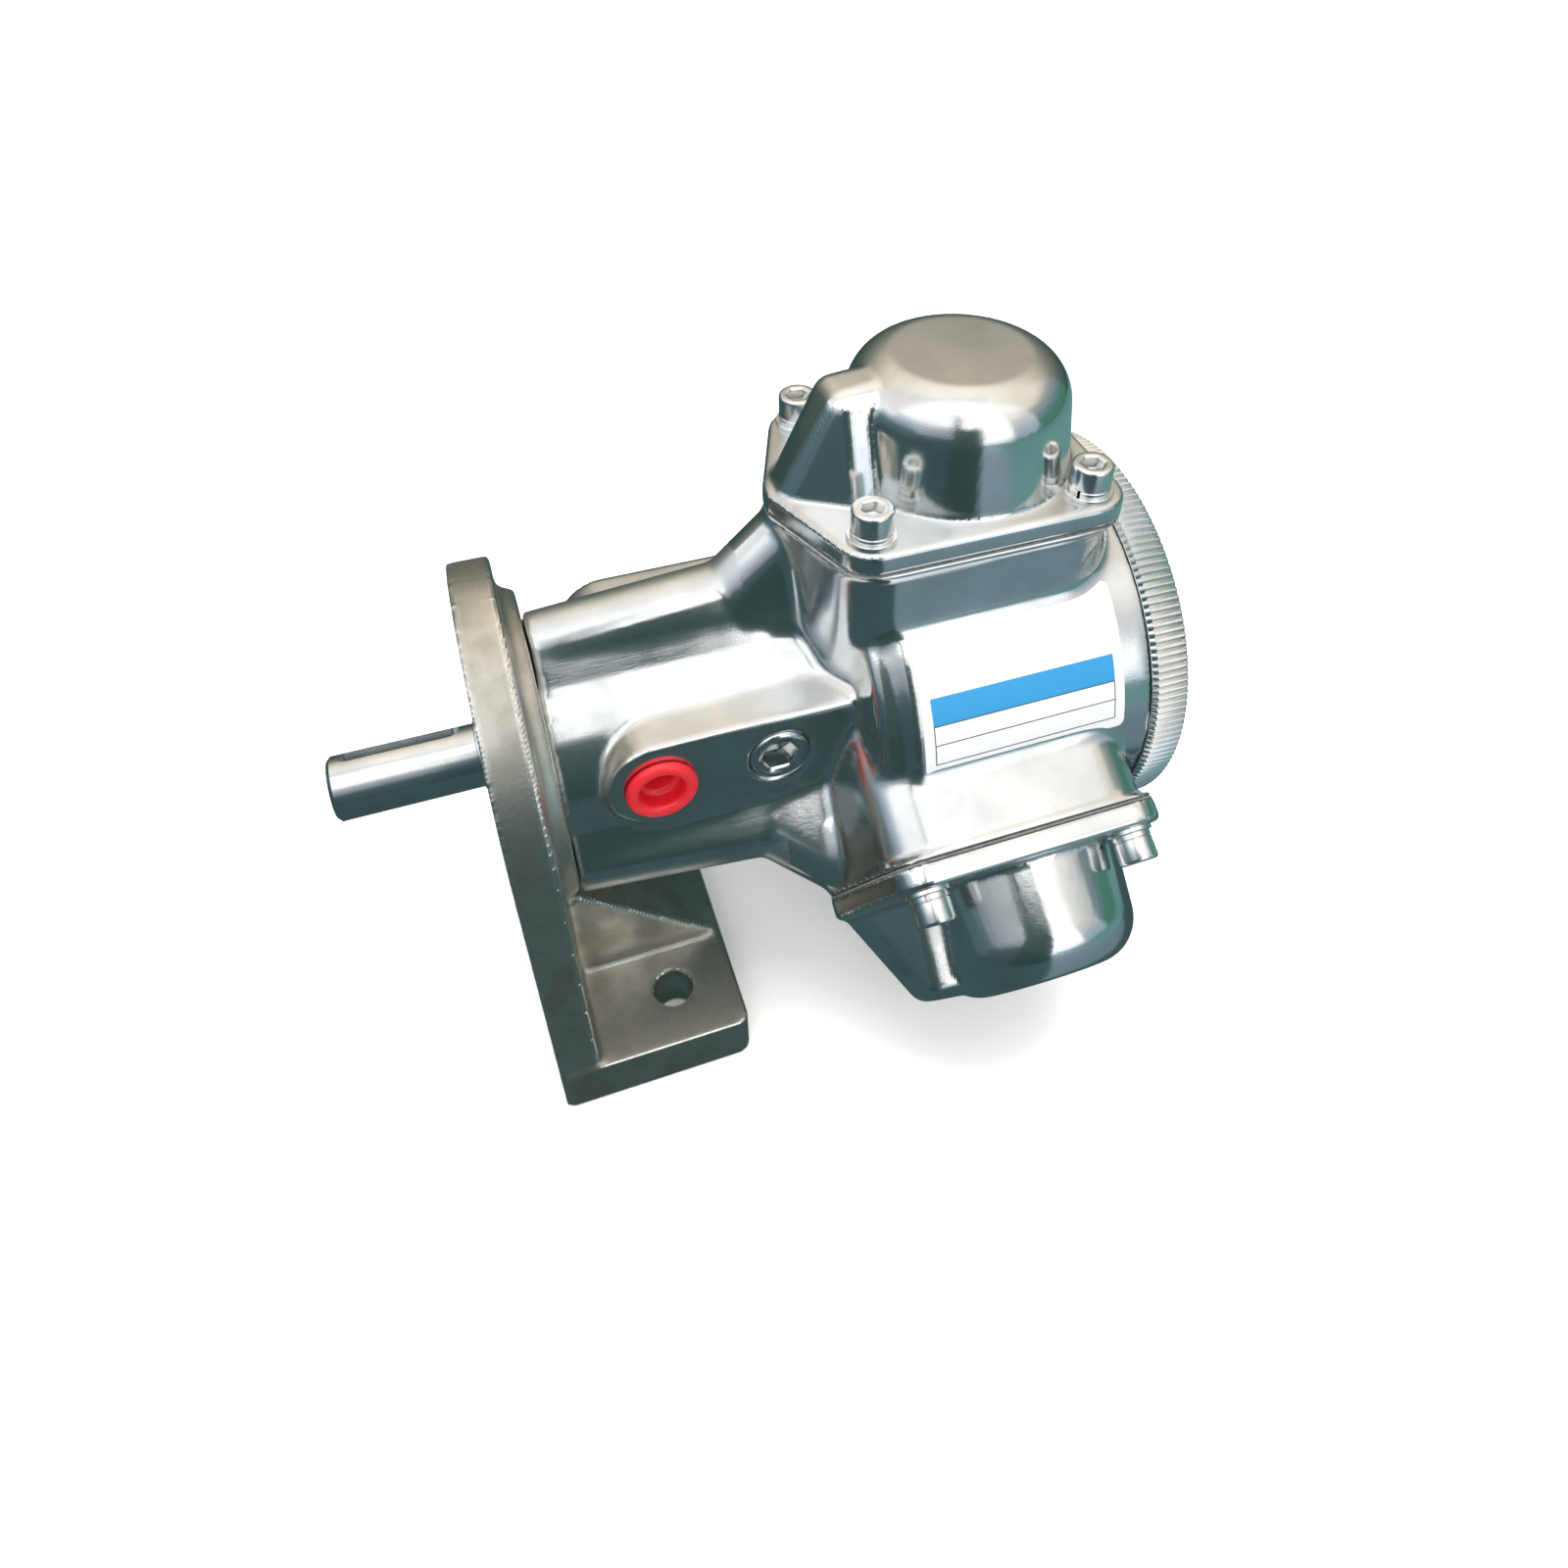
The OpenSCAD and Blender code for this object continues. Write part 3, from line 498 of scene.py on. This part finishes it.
def motor_housing():
    piece = casting("motor_housing", "housing", HOUSING_VOXEL)
    points = read_points(piece.data)
    x = points[:, 0]
    radius = np.hypot(points[:, 1], points[:, 2])
    outer = np.zeros(len(points))
    crest_top = np.interp(x, (NECK_FRONT, NECK_END), CREST_TOP)
    satin = np.zeros(len(points))
    for number in CYLINDERS:
        around = math.radians(120 * (number - 1))
        along = points[:, 2] * math.cos(around) - points[:, 1] * math.sin(around)
        outer = np.maximum(outer, along)
        satin = np.maximum(satin, (along - crest_top + 2.2 * MM) / (1.2 * MM) * (x < 57 * MM))
    block_top = PORT_Z + PORT_BLOCK_RADIUS
    on_block = (np.abs(points[:, 2] - block_top) < 0.6 * MM) & (x > PORT_X) & (x < 76 * MM)
    on_block &= np.abs(points[:, 1]) < PORT_FACE - 1 * MM
    machined = (outer > JOINT_PLANE - 1.5 * MM) | (x < 14 * MM) | (x > CASE_END - 1 * MM)
    machined |= (np.abs(points[:, 1]) > PORT_FACE - 0.7 * MM) & (x < 75 * MM) & (outer < 35 * MM)
    flare = np.clip((x - 56 * MM) / (12 * MM), 0, 1) * (radius < 50 * MM)
    # Its two ends keep their hard edges, as the bracket and the rear cap lie against them
    free = np.clip((x - NECK_FRONT - 0.5 * MM) / MM, 0, 1) * np.clip((CASE_END - 0.6 * MM - x) / MM, 0, 1)
    hollow = (free * np.where(machined, 0.06, 0.02 + 0.42 * flare))[:, None]
    crest = (free * np.where(machined, 0.02, 0.02 + 0.03 * flare))[:, None]
    ease(piece, 3, 0.4 * free[:, None], 0.3 * free[:, None])
    ease(piece, 36, hollow, crest)
    mark(piece, "satin", np.maximum(satin, 0.6 * on_block))
    inside = points_in_bores(read_points(piece.data))
    clear_bores(piece, inside, 0.5 * MM)
    thin_bores(piece, inside, 0.6)
    dress(piece, "housing", "frame", POLISHED)


def dome_covers():
    top = casting("dome_cover_1", "cylinder_cover_1", COVER_VOXEL)
    ease(top, 3, 0.4, 0.3)
    ease(top, 12, 0.25, 0.05)
    height = read_points(top.data)[:, 2]
    plate_top = np.abs(height - COVER_TOP) < 0.35 * MM
    dome_crown = np.clip((height - DOME_TOP + 5 * MM) / (5 * MM), 0, 1)
    mark(top, "satin", np.maximum(plate_top, 0.45 * dome_crown))
    on_each_cylinder("dome_cover", top, "cylinder_cover", COVER_METAL)


def foot_bracket_casting():
    piece = casting("foot_bracket_casting", "foot_bracket", BRACKET_VOXEL)
    ease(piece, 2, 0.4, 0.3)
    ease(piece, 16, 0.35, 0.05)
    # Convex edges marked for a lighter colour: partly rubbed wear, partly a painted highlight
    mark_edges(piece, 0.015 * MM, 0.07 * MM)
    dress(piece, "foot_bracket", "frame", FACED)


# Screws, washers and plugs

def cap_screw(shape, place, thread=2.5, shank=18.0, head=(8.5, 5.0), key=4.0):
    """Socket head cap screw in mm, the seat of its head at the place's origin and its shank towards -Z."""
    r, h = head[0] / 2, head[1]
    turned_form(shape, in_mm([
        (thread - 0.6, -shank), (thread, -shank + 0.6), (thread, -0.02), (r - 0.25, 0), (r, 0.25),
        (r, h - 0.75), (r - 0.12, h - 0.32), (r - 0.42, h - 0.06), (r - 0.75, h), (key / 2 + 0.85, h),
        (hexagon(key + 0.7), h - 0.05), (hexagon(key), h - 0.35), (hexagon(key), h - 2.6),
        (hexagon(key - 1.6), h - 3.0)
    ]), 60, place)


def flat_washer(shape, place):
    turned_form(shape, in_mm([
        (2.65, 0.12), (2.78, 0), (4.88, 0), (5.0, 0.12), (5.0, 0.88), (4.88, 1), (2.78, 1), (2.65, 0.88),
        (2.65, 0.12)
    ]), 60, place, closed=True)


def split_washer(shape, place):
    """Spring washer: a square section spun almost once round, with its ends a little apart in height."""
    inner, outer, top, soft = 2.6 * MM, 4.3 * MM, SPLIT_WASHER, 0.14 * MM
    gap = math.radians(9)
    corners = [(inner + soft, 0), (outer - soft, 0), (outer, soft), (outer, top - soft), (outer - soft, top),
               (inner + soft, top), (inner, top - soft), (inner, soft)]
    verts = [shape.verts.new((x, 0, z)) for x, z in corners]
    section = shape.faces.new(verts)
    steps = 56
    spun = bmesh.ops.spin(shape, geom=verts + list(section.edges) + [section], cent=(0, 0, 0), axis=(0, 0, 1),
                          angle=2 * math.pi - gap, steps=steps, use_duplicate=False)
    everything = {v for v in verts if v.is_valid}
    everything |= {v for f in shape.faces for v in f.verts if f in spun["geom_last"]}
    linked = set(everything)
    while linked:
        linked = {e.other_vert(v) for v in linked for e in v.link_edges} - everything
        everything |= linked
    rims = [e for v in everything for e in v.link_edges if e.is_boundary]
    bmesh.ops.holes_fill(shape, edges=list(set(rims)), sides=len(corners))
    start = Matrix.Rotation(math.radians(20), 4, "Z")
    bmesh.ops.transform(shape, matrix=place @ start, verts=list(everything))


def screw_places(height):
    return [Matrix.Translation((x, side * SCREW_Y, height)) for x in SCREW_X for side in (-1, 1)]


def cover_fixings():
    """Each cover's screws and washers, every next one of a set turned a little further on its axis."""
    on_flat = COVER_TOP + FLAT_WASHER
    for name, node, height, turned_by, add_one in (
            ("cover_screw_set", "cover_screws", on_flat + SPLIT_WASHER, 0.9, cap_screw),
            ("flat_washer_set", "flat_washers", COVER_TOP, 0.0, flat_washer),
            ("split_washer_set", "spring_washers", on_flat, 1.7, split_washer)):
        shape = bmesh.new()
        for number, place in enumerate(screw_places(height)):
            add_one(shape, place @ Matrix.Rotation(turned_by * number, 4, "Z"))
        on_each_cylinder(name, finish_piece(f"{name}_1", shape), node, SCREW_STEEL)


def bracket_screw_set():
    shape = bmesh.new()
    for corner in (45, 135, 225, 315):
        place = Matrix.Rotation(math.radians(corner), 4, "X") @ Matrix.Translation(
            (BRACKET_SCREW_SEAT, 0, BRACKET_SCREW_RADIUS)) @ Matrix.Rotation(math.radians(-90), 4, "Y")
        cap_screw(shape, place, thread=2.0, shank=16)
    dress(finish_piece("bracket_screw_set", shape), "bracket_screws", "frame", SCREW_STEEL)


def knurled_rear_cap():
    """Screwed cap: threaded skirt inside the crankcase, knurled rim with a lip over the crankcase's end, and
    a faced and recessed back."""
    r = CAP_RADIUS / MM
    front = CASE_END / MM + 0.4
    rim = CASE_END / MM + 0.03
    rear = CASE_END / MM + 8
    shape = bmesh.new()
    turned_form(shape, in_mm([
        (20, front + 1.6), (34, front + 1.6), (36, front + 0.6), (36, front - 7.4), (36.5, front - 7.9),
        (40.3, front - 7.9), (40.8, front - 7.4), (40.8, rim), (44.3, rim), (44.32, rim - 0.9),
        (44.75, rim - 0.95), (knurl(r, 0.75), rim - 0.1), (knurl(r, 0.75), rear - 1.0),
        (knurl(r - 0.55, 0.3), rear - 0.45), (r - 1.7, rear - 0.02), (r - 3.2, rear), (35.1, rear),
        (34.7, rear - 0.12), (33.3, rear - 1.1), (32.6, rear - 1.2), (12, rear - 1.2), (11.5, rear - 1.05),
        (4, rear - 1.05)
    ]), CAP_TEETH * KNURL_STEPS, Matrix.Rotation(math.radians(90), 4, "Y"))
    dress(finish_piece("knurled_rear_cap", shape, 24), "rear_cap", "frame", KNURL_METAL)


def port_caps():
    """Moulded caps with a round flange and a stepped cup, pushed into both ports."""
    shape = bmesh.new()
    for side in (-1, 1):
        turned_form(shape, in_mm([
            (5.1, -9), (5.8, -7.2), (5.9, -0.6), (6.2, 0.02), (7.1, 0.02), (7.45, 0.25), (7.55, 0.75),
            (7.4, 1.3), (7.0, 1.75), (6.4, 1.95), (5.6, 1.9), (5.0, 1.6), (4.7, 1.0), (4.6, 0.2),
            (4.5, -1.6), (4.2, -2.1), (3.6, -2.3), (3.3, -2.6), (3.15, -6.6), (2.7, -7.2)
        ]), 64, facing_side(PORT_X, side, PORT_Z))
    dress(finish_piece("port_caps", shape, 50), "port_plugs", "frame", CAP_RED)


def hex_plug_pair():
    """Plugs with a round rim and a hexagon socket, screwed in behind both ports."""
    shape = bmesh.new()
    for side in (-1, 1):
        turned_form(shape, in_mm([
            (5.9, -8.5), (6.5, -7.9), (6.55, -0.7), (6.25, -0.2), (5.9, 0.1), (5.5, 0.22), (5.1, 0.22),
            (4.7, 0.08), (hexagon(7.7), -0.12), (hexagon(7.0), -0.6), (hexagon(7.0), -5.3),
            (hexagon(4.0), -6.0)
        ]), 72, facing_side(HEX_PLUG_X, side, PORT_Z))
    dress(finish_piece("hex_plug_pair", shape), "hex_plugs", "frame", PLUG_STEEL)


def shaft_collar():
    """Thin ground shoulder where the shaft leaves the seal."""
    shape = bmesh.new()
    turned_form(shape, in_mm([
        (6.9, -1.9), (7.35, -1.9), (7.6, -1.7), (7.65, 0.1), (7.6, 0.25), (6.9, 0.25), (6.9, -1.9)
    ]), 96, Matrix.Rotation(math.radians(90), 4, "Y"), closed=True)
    dress(finish_piece("shaft_collar", shape), None, "crank", SHAFT_STEEL)


def sticker_sheet():
    """Sheet with round corners, cut in narrow strips and wrapped on the near side of the crankcase."""
    left, lower, strips = 84.5 * MM, math.radians(9.5), 44
    inner, thick = CASE_RADIUS - 0.08 * MM, 0.2 * MM
    width, height = STICKER_SIZE
    shape = bmesh.new()
    bmesh.ops.create_grid(shape, x_segments=1, y_segments=1, size=0.5)
    bmesh.ops.translate(shape, vec=(0.5, 0.5, 0), verts=shape.verts)
    bmesh.ops.scale(shape, vec=(width, height, 1), verts=shape.verts)
    bmesh.ops.bevel(shape, geom=list(shape.verts), offset=1.6 * MM, segments=6, profile=0.5,
                    affect="VERTICES", material=-1)
    for strip in range(1, strips):
        bmesh.ops.bisect_plane(shape, geom=list(shape.verts) + list(shape.edges) + list(shape.faces),
                               plane_co=(0, height * strip / strips, 0), plane_no=(0, 1, 0))
    bmesh.ops.recalc_face_normals(shape, faces=shape.faces)
    bmesh.ops.solidify(shape, geom=list(shape.faces), thickness=thick)
    bottom = min(v.co.z for v in shape.verts)
    chart = shape.loops.layers.uv.new("print")
    for face in shape.faces:
        for corner in face.loops:
            corner[chart].uv = (corner.vert.co.x / width, corner.vert.co.y / height)
    for v in shape.verts:
        around = lower + v.co.y / CASE_RADIUS
        radius = inner + v.co.z - bottom
        v.co = (left + v.co.x, -radius * math.cos(around), radius * math.sin(around))
    dress(finish_piece("sticker_sheet", shape, 60), "label", "frame", STICKER)


motor_housing()
dome_covers()
foot_bracket_casting()
cover_fixings()
bracket_screw_set()
knurled_rear_cap()
port_caps()
hex_plug_pair()
shaft_collar()
sticker_sheet()

# Camera at the photograph's viewpoint

CAMERA_PLACE = Vector((9.75, -185.3, 190.4)) * MM
IMAGE_RIGHT = Vector((0.94149, -0.33686, 0.01111))
IMAGE_DOWN = Vector((-0.20774, -0.60593, -0.76792))
VIEW = Vector((0.26542, 0.72068, -0.64045))
PHOTO_WIDTH = 1600
FOCAL_PIXELS = 1184.6
OPTICAL_CENTRE = (843.2, 599.4)


def photo_camera():
    data = bpy.data.cameras.new("photo_camera")
    data.sensor_width = 36
    data.lens = FOCAL_PIXELS * 36 / PHOTO_WIDTH
    data.shift_x = (PHOTO_WIDTH / 2 - OPTICAL_CENTRE[0]) / PHOTO_WIDTH
    data.shift_y = (OPTICAL_CENTRE[1] - PHOTO_WIDTH / 2) / PHOTO_WIDTH
    data.clip_start = 0.01
    camera = bpy.data.objects.new("photo_camera", data)
    bpy.context.scene.collection.objects.link(camera)
    camera.matrix_world = Matrix((
        (IMAGE_RIGHT.x, -IMAGE_DOWN.x, -VIEW.x, CAMERA_PLACE.x),
        (IMAGE_RIGHT.y, -IMAGE_DOWN.y, -VIEW.y, CAMERA_PLACE.y),
        (IMAGE_RIGHT.z, -IMAGE_DOWN.z, -VIEW.z, CAMERA_PLACE.z), (0, 0, 0, 1)))
    bpy.context.scene.camera = camera


# Studio

FLOOR_LEVEL = CAD_BOX[0].z
SCREEN_CENTRE = (0.075, 0.0, 0.0)
SCREEN_RADIUS = 1.30
SCREEN_STRENGTH = 1.5
FLOOR_LIFT = 0.62
SHADE_REACH = 0.05
WORLD_LIGHT = 0.55


def screen(name, azimuths, stops):
    """Curved glowing screen that only the metal's reflections see: part of a sphere round the motor, between
    two azimuths counted from the rear cap's side towards the far side. stops are (elevation, colour), lowest
    first."""
    low, high = stops[0][0], stops[-1][0]
    start, end = (math.radians(a) for a in azimuths)
    shape = bmesh.new()
    rows = 24
    line = []
    for row in range(rows + 1):
        climb = math.radians(low + (high - low) * row / rows)
        line.append(shape.verts.new((SCREEN_RADIUS * math.cos(climb), 0, SCREEN_RADIUS * math.sin(climb))))
    edges = [shape.edges.new(pair) for pair in zip(line, line[1:])]
    bmesh.ops.rotate(shape, cent=(0, 0, 0), matrix=Matrix.Rotation(start, 3, "Z"), verts=line)
    bmesh.ops.spin(shape, geom=line + edges, cent=(0, 0, 0), axis=(0, 0, 1), angle=end - start, steps=24)
    bmesh.ops.translate(shape, vec=SCREEN_CENTRE, verts=shape.verts)
    piece = new_piece(name, shape)
    piece.data.materials.append(glow(name, stops))
    reflected_only(piece)


def glow(name, stops):
    """Light of a screen: its colour changes with the elevation."""
    material, tree = bare_material(name)
    place = add(tree, "ShaderNodeTexCoord").outputs["Object"]
    height = add(tree, "ShaderNodeSeparateXYZ", inputs={"Vector": place}).outputs["Z"]
    tone = colour(stops[0][1])
    for (low, _), (high, code) in zip(stops, stops[1:]):
        share = add(tree, "ShaderNodeMapRange", inputs={
            "Value": height, "From Min": SCREEN_RADIUS * math.sin(math.radians(low)),
            "From Max": SCREEN_RADIUS * math.sin(math.radians(high))})
        tone = add(tree, "ShaderNodeMix", {"data_type": "RGBA"},
                   {"Factor": share.outputs["Result"], "A": tone, "B": colour(code)}).outputs["Result"]
    light = add(tree, "ShaderNodeEmission", inputs={"Color": tone, "Strength": SCREEN_STRENGTH})
    add(tree, "ShaderNodeOutputMaterial", inputs={"Surface": light.outputs[0]})
    return material


def reflected_only(piece):
    piece.visible_camera = False
    piece.visible_diffuse = False
    piece.visible_shadow = False
    piece.visible_transmission = False


def sheet(name, low, high, codes, along=2):
    """Flat glowing sheet between two opposite corners, lying level or standing upright along the shaft, that
    only the metal's reflections see. Its colour runs from the first code to the second along one axis."""
    low, high = Vector(low), Vector(high)
    size = high - low
    shape = bmesh.new()
    bmesh.ops.create_grid(shape, x_segments=1, y_segments=1, size=0.5)
    if size.y == 0:
        bmesh.ops.rotate(shape, matrix=Matrix.Rotation(math.radians(90), 3, "X"), verts=shape.verts)
    bmesh.ops.scale(shape, vec=(size.x, size.y or 1, size.z or 1), verts=shape.verts)
    bmesh.ops.translate(shape, vec=(low + high) / 2, verts=shape.verts)
    piece = new_piece(name, shape)
    material, tree = bare_material(name)
    place = add(tree, "ShaderNodeTexCoord").outputs["Object"]
    place = add(tree, "ShaderNodeSeparateXYZ", inputs={"Vector": place})
    share = add(tree, "ShaderNodeMapRange", inputs={
        "Value": place.outputs[along], "From Min": low[along], "From Max": high[along]})
    tone = add(tree, "ShaderNodeMix", {"data_type": "RGBA"},
               {"Factor": share.outputs["Result"], "A": colour(codes[0]), "B": colour(codes[1])})
    light = add(tree, "ShaderNodeEmission", inputs={"Color": tone.outputs["Result"], "Strength": 1.0})
    add(tree, "ShaderNodeOutputMaterial", inputs={"Surface": light.outputs[0]})
    piece.data.materials.append(material)
    reflected_only(piece)


def lamp(name, centre, target, size, watts, code="#ffffff"):
    data = bpy.data.lights.new(name, "AREA")
    data.shape = "RECTANGLE"
    data.size, data.size_y = size
    data.energy = watts
    data.color = colour(code)[:3]
    light = bpy.data.objects.new(name, data)
    bpy.context.scene.collection.objects.link(light)
    light.location = centre
    light.visible_glossy = False
    light.rotation_euler = (Vector(target) - Vector(centre)).to_track_quat("-Z", "Y").to_euler()


def background_share(tree):
    """1 for rays that should meet the plain background, 0 for light that falls on the motor."""
    rays = add(tree, "ShaderNodeLightPath").outputs
    seen = rays["Is Camera Ray"]
    for kind in ("Is Glossy Ray", "Is Transmission Ray"):
        seen = add(tree, "ShaderNodeMath", {"operation": "MAXIMUM"}, {0: seen, 1: rays[kind]}).outputs[0]
    return seen


def pale_floor():
    """Plain floor that takes the soft shadow of the lamps, and glows towards white for camera and glossy
    rays; ambient occlusion dims that glow where things stand over it, a painted shade under the motor.
    """
    shape = bmesh.new()
    bmesh.ops.create_grid(shape, x_segments=1, y_segments=1, size=3.0)
    bmesh.ops.translate(shape, vec=(0, 0, FLOOR_LEVEL), verts=shape.verts)
    floor = new_piece("pale_floor", shape)
    material, tree = bare_material("pale floor")
    shader = add(tree, "ShaderNodeBsdfPrincipled", inputs={"Base Color": colour("#e8e8e8"), "Roughness": 0.9})
    add(tree, "ShaderNodeOutputMaterial", inputs={"Surface": shader.outputs[0]})
    # Ambient occlusion dims the floor's white glow under and beside the motor: painted shade
    openness_for_painted_shade = add(tree, "ShaderNodeAmbientOcclusion", {"samples": 8}, {"Distance": SHADE_REACH})
    glow_with_painted_shade = background_share(tree)
    for share in (FLOOR_LIFT, openness_for_painted_shade.outputs["AO"]):
        glow_with_painted_shade = add(tree, "ShaderNodeMath", {"operation": "MULTIPLY"}, {0: glow_with_painted_shade, 1: share}).outputs[0]
    tree.links.new(glow_with_painted_shade, shader.inputs["Emission Strength"])
    shader.inputs["Emission Color"].default_value = (1, 1, 1, 1)
    floor.data.materials.append(material)


def white_world():
    """White background, which gives the motor less light than it shows."""
    world = bpy.data.worlds.new("studio white")
    bpy.context.scene.world = world
    world.use_nodes = True
    tree = world.node_tree
    tree.nodes.clear()
    level = add(tree, "ShaderNodeMapRange", inputs={
        "Value": background_share(tree), "To Min": WORLD_LIGHT, "To Max": 1.0}).outputs["Result"]
    sky = add(tree, "ShaderNodeBackground", inputs={"Color": (1, 1, 1, 1), "Strength": level})
    add(tree, "ShaderNodeOutputWorld", inputs={"Surface": sky.outputs[0]})


def studio():
    """Room of the photograph as the polished metal shows it: a dark mat on the bench with a window's sheen,
    dark things low down in front of the motor, and walls that grow from dark to pale with the height."""
    pale_floor()
    white_world()
    mat = FLOOR_LEVEL + 0.5 * MM
    on_mat = mat + 0.5 * MM
    sheet("bench_mat", (-2.0, -2.0, mat), (2.0, 2.0, mat), ("#52666a", "#21403d"), along=1)
    sheet("window_sheen", (0.11, -0.9, on_mat), (0.27, -0.085, on_mat), ("#b9cad8", "#6c848e"), along=1)
    sheet("green_sheen", (0.27, -0.9, on_mat), (1.2, 0.3, on_mat), ("#6c9a98", "#4f7d72"), along=0)
    near, nearer = -0.26, -0.25
    sheet("near_flag", (-0.03, nearer, FLOOR_LEVEL), (0.104, nearer, 0.205), ("#2c4543", "#4a5d5e"))
    sheet("near_left_flag", (-0.40, near, FLOOR_LEVEL), (-0.03, near, 0.10), ("#3a5053", "#4c5f64"))
    sheet("near_left_grey", (-0.40, near, 0.10), (-0.03, near, 0.25), ("#7c8b94", "#d4d9dd"))
    sheet("near_post", (-0.022, nearer, 0.205), (0.012, nearer, 0.48), ("#46575a", "#6c787a"))
    screen("near_left_wall", (-180, -101), [
        (-6, "#43585d"), (10, "#465b61"), (18, "#8693a0"), (28, "#a9b5c2"), (36, "#f6f7f8"), (88, "#ffffff")])
    screen("window_foot", (-101, -58), [(-6, "#c2d2e2"), (2, "#e4ecf4"), (8, "#ffffff"), (88, "#ffffff")])
    screen("near_right_wall", (-58, -30), [
        (-6, "#7b969e"), (4, "#8797a0"), (14, "#99a3aa"), (30, "#bdbdbc"), (44, "#e9e6e1"), (88, "#ffffff")])
    screen("right_wall", (-30, 20), [
        (-6, "#3c6a5a"), (8, "#3f6c5f"), (16, "#5c7378"), (30, "#8a8f8c"), (38, "#d0c8bc"), (62, "#e0d8cc"),
        (72, "#f4f0ea")])
    screen("far_wall", (20, 140), [
        (-6, "#3e4a44"), (8, "#45514a"), (24, "#6f7068"), (34, "#a39c8f"), (48, "#d2c8ba"), (62, "#e9e1d6"),
        (85, "#f2ece3")])
    screen("back_left_wall", (140, 180), [
        (-6, "#3f5458"), (10, "#4a6066"), (18, "#9aa6ae"), (28, "#f4f5f6")])
    lamp("overhead_soft", (0.15, 0.1, 1.1), (0.06, 0, 0), (1.1, 0.8), 16, "#fffaf3")
    lamp("near_fill", (-0.2, -0.9, 0.9), (0.06, 0, 0), (0.6, 0.6), 5)


photo_camera()
studio()
bpy.context.scene.view_settings.view_transform = "Standard"
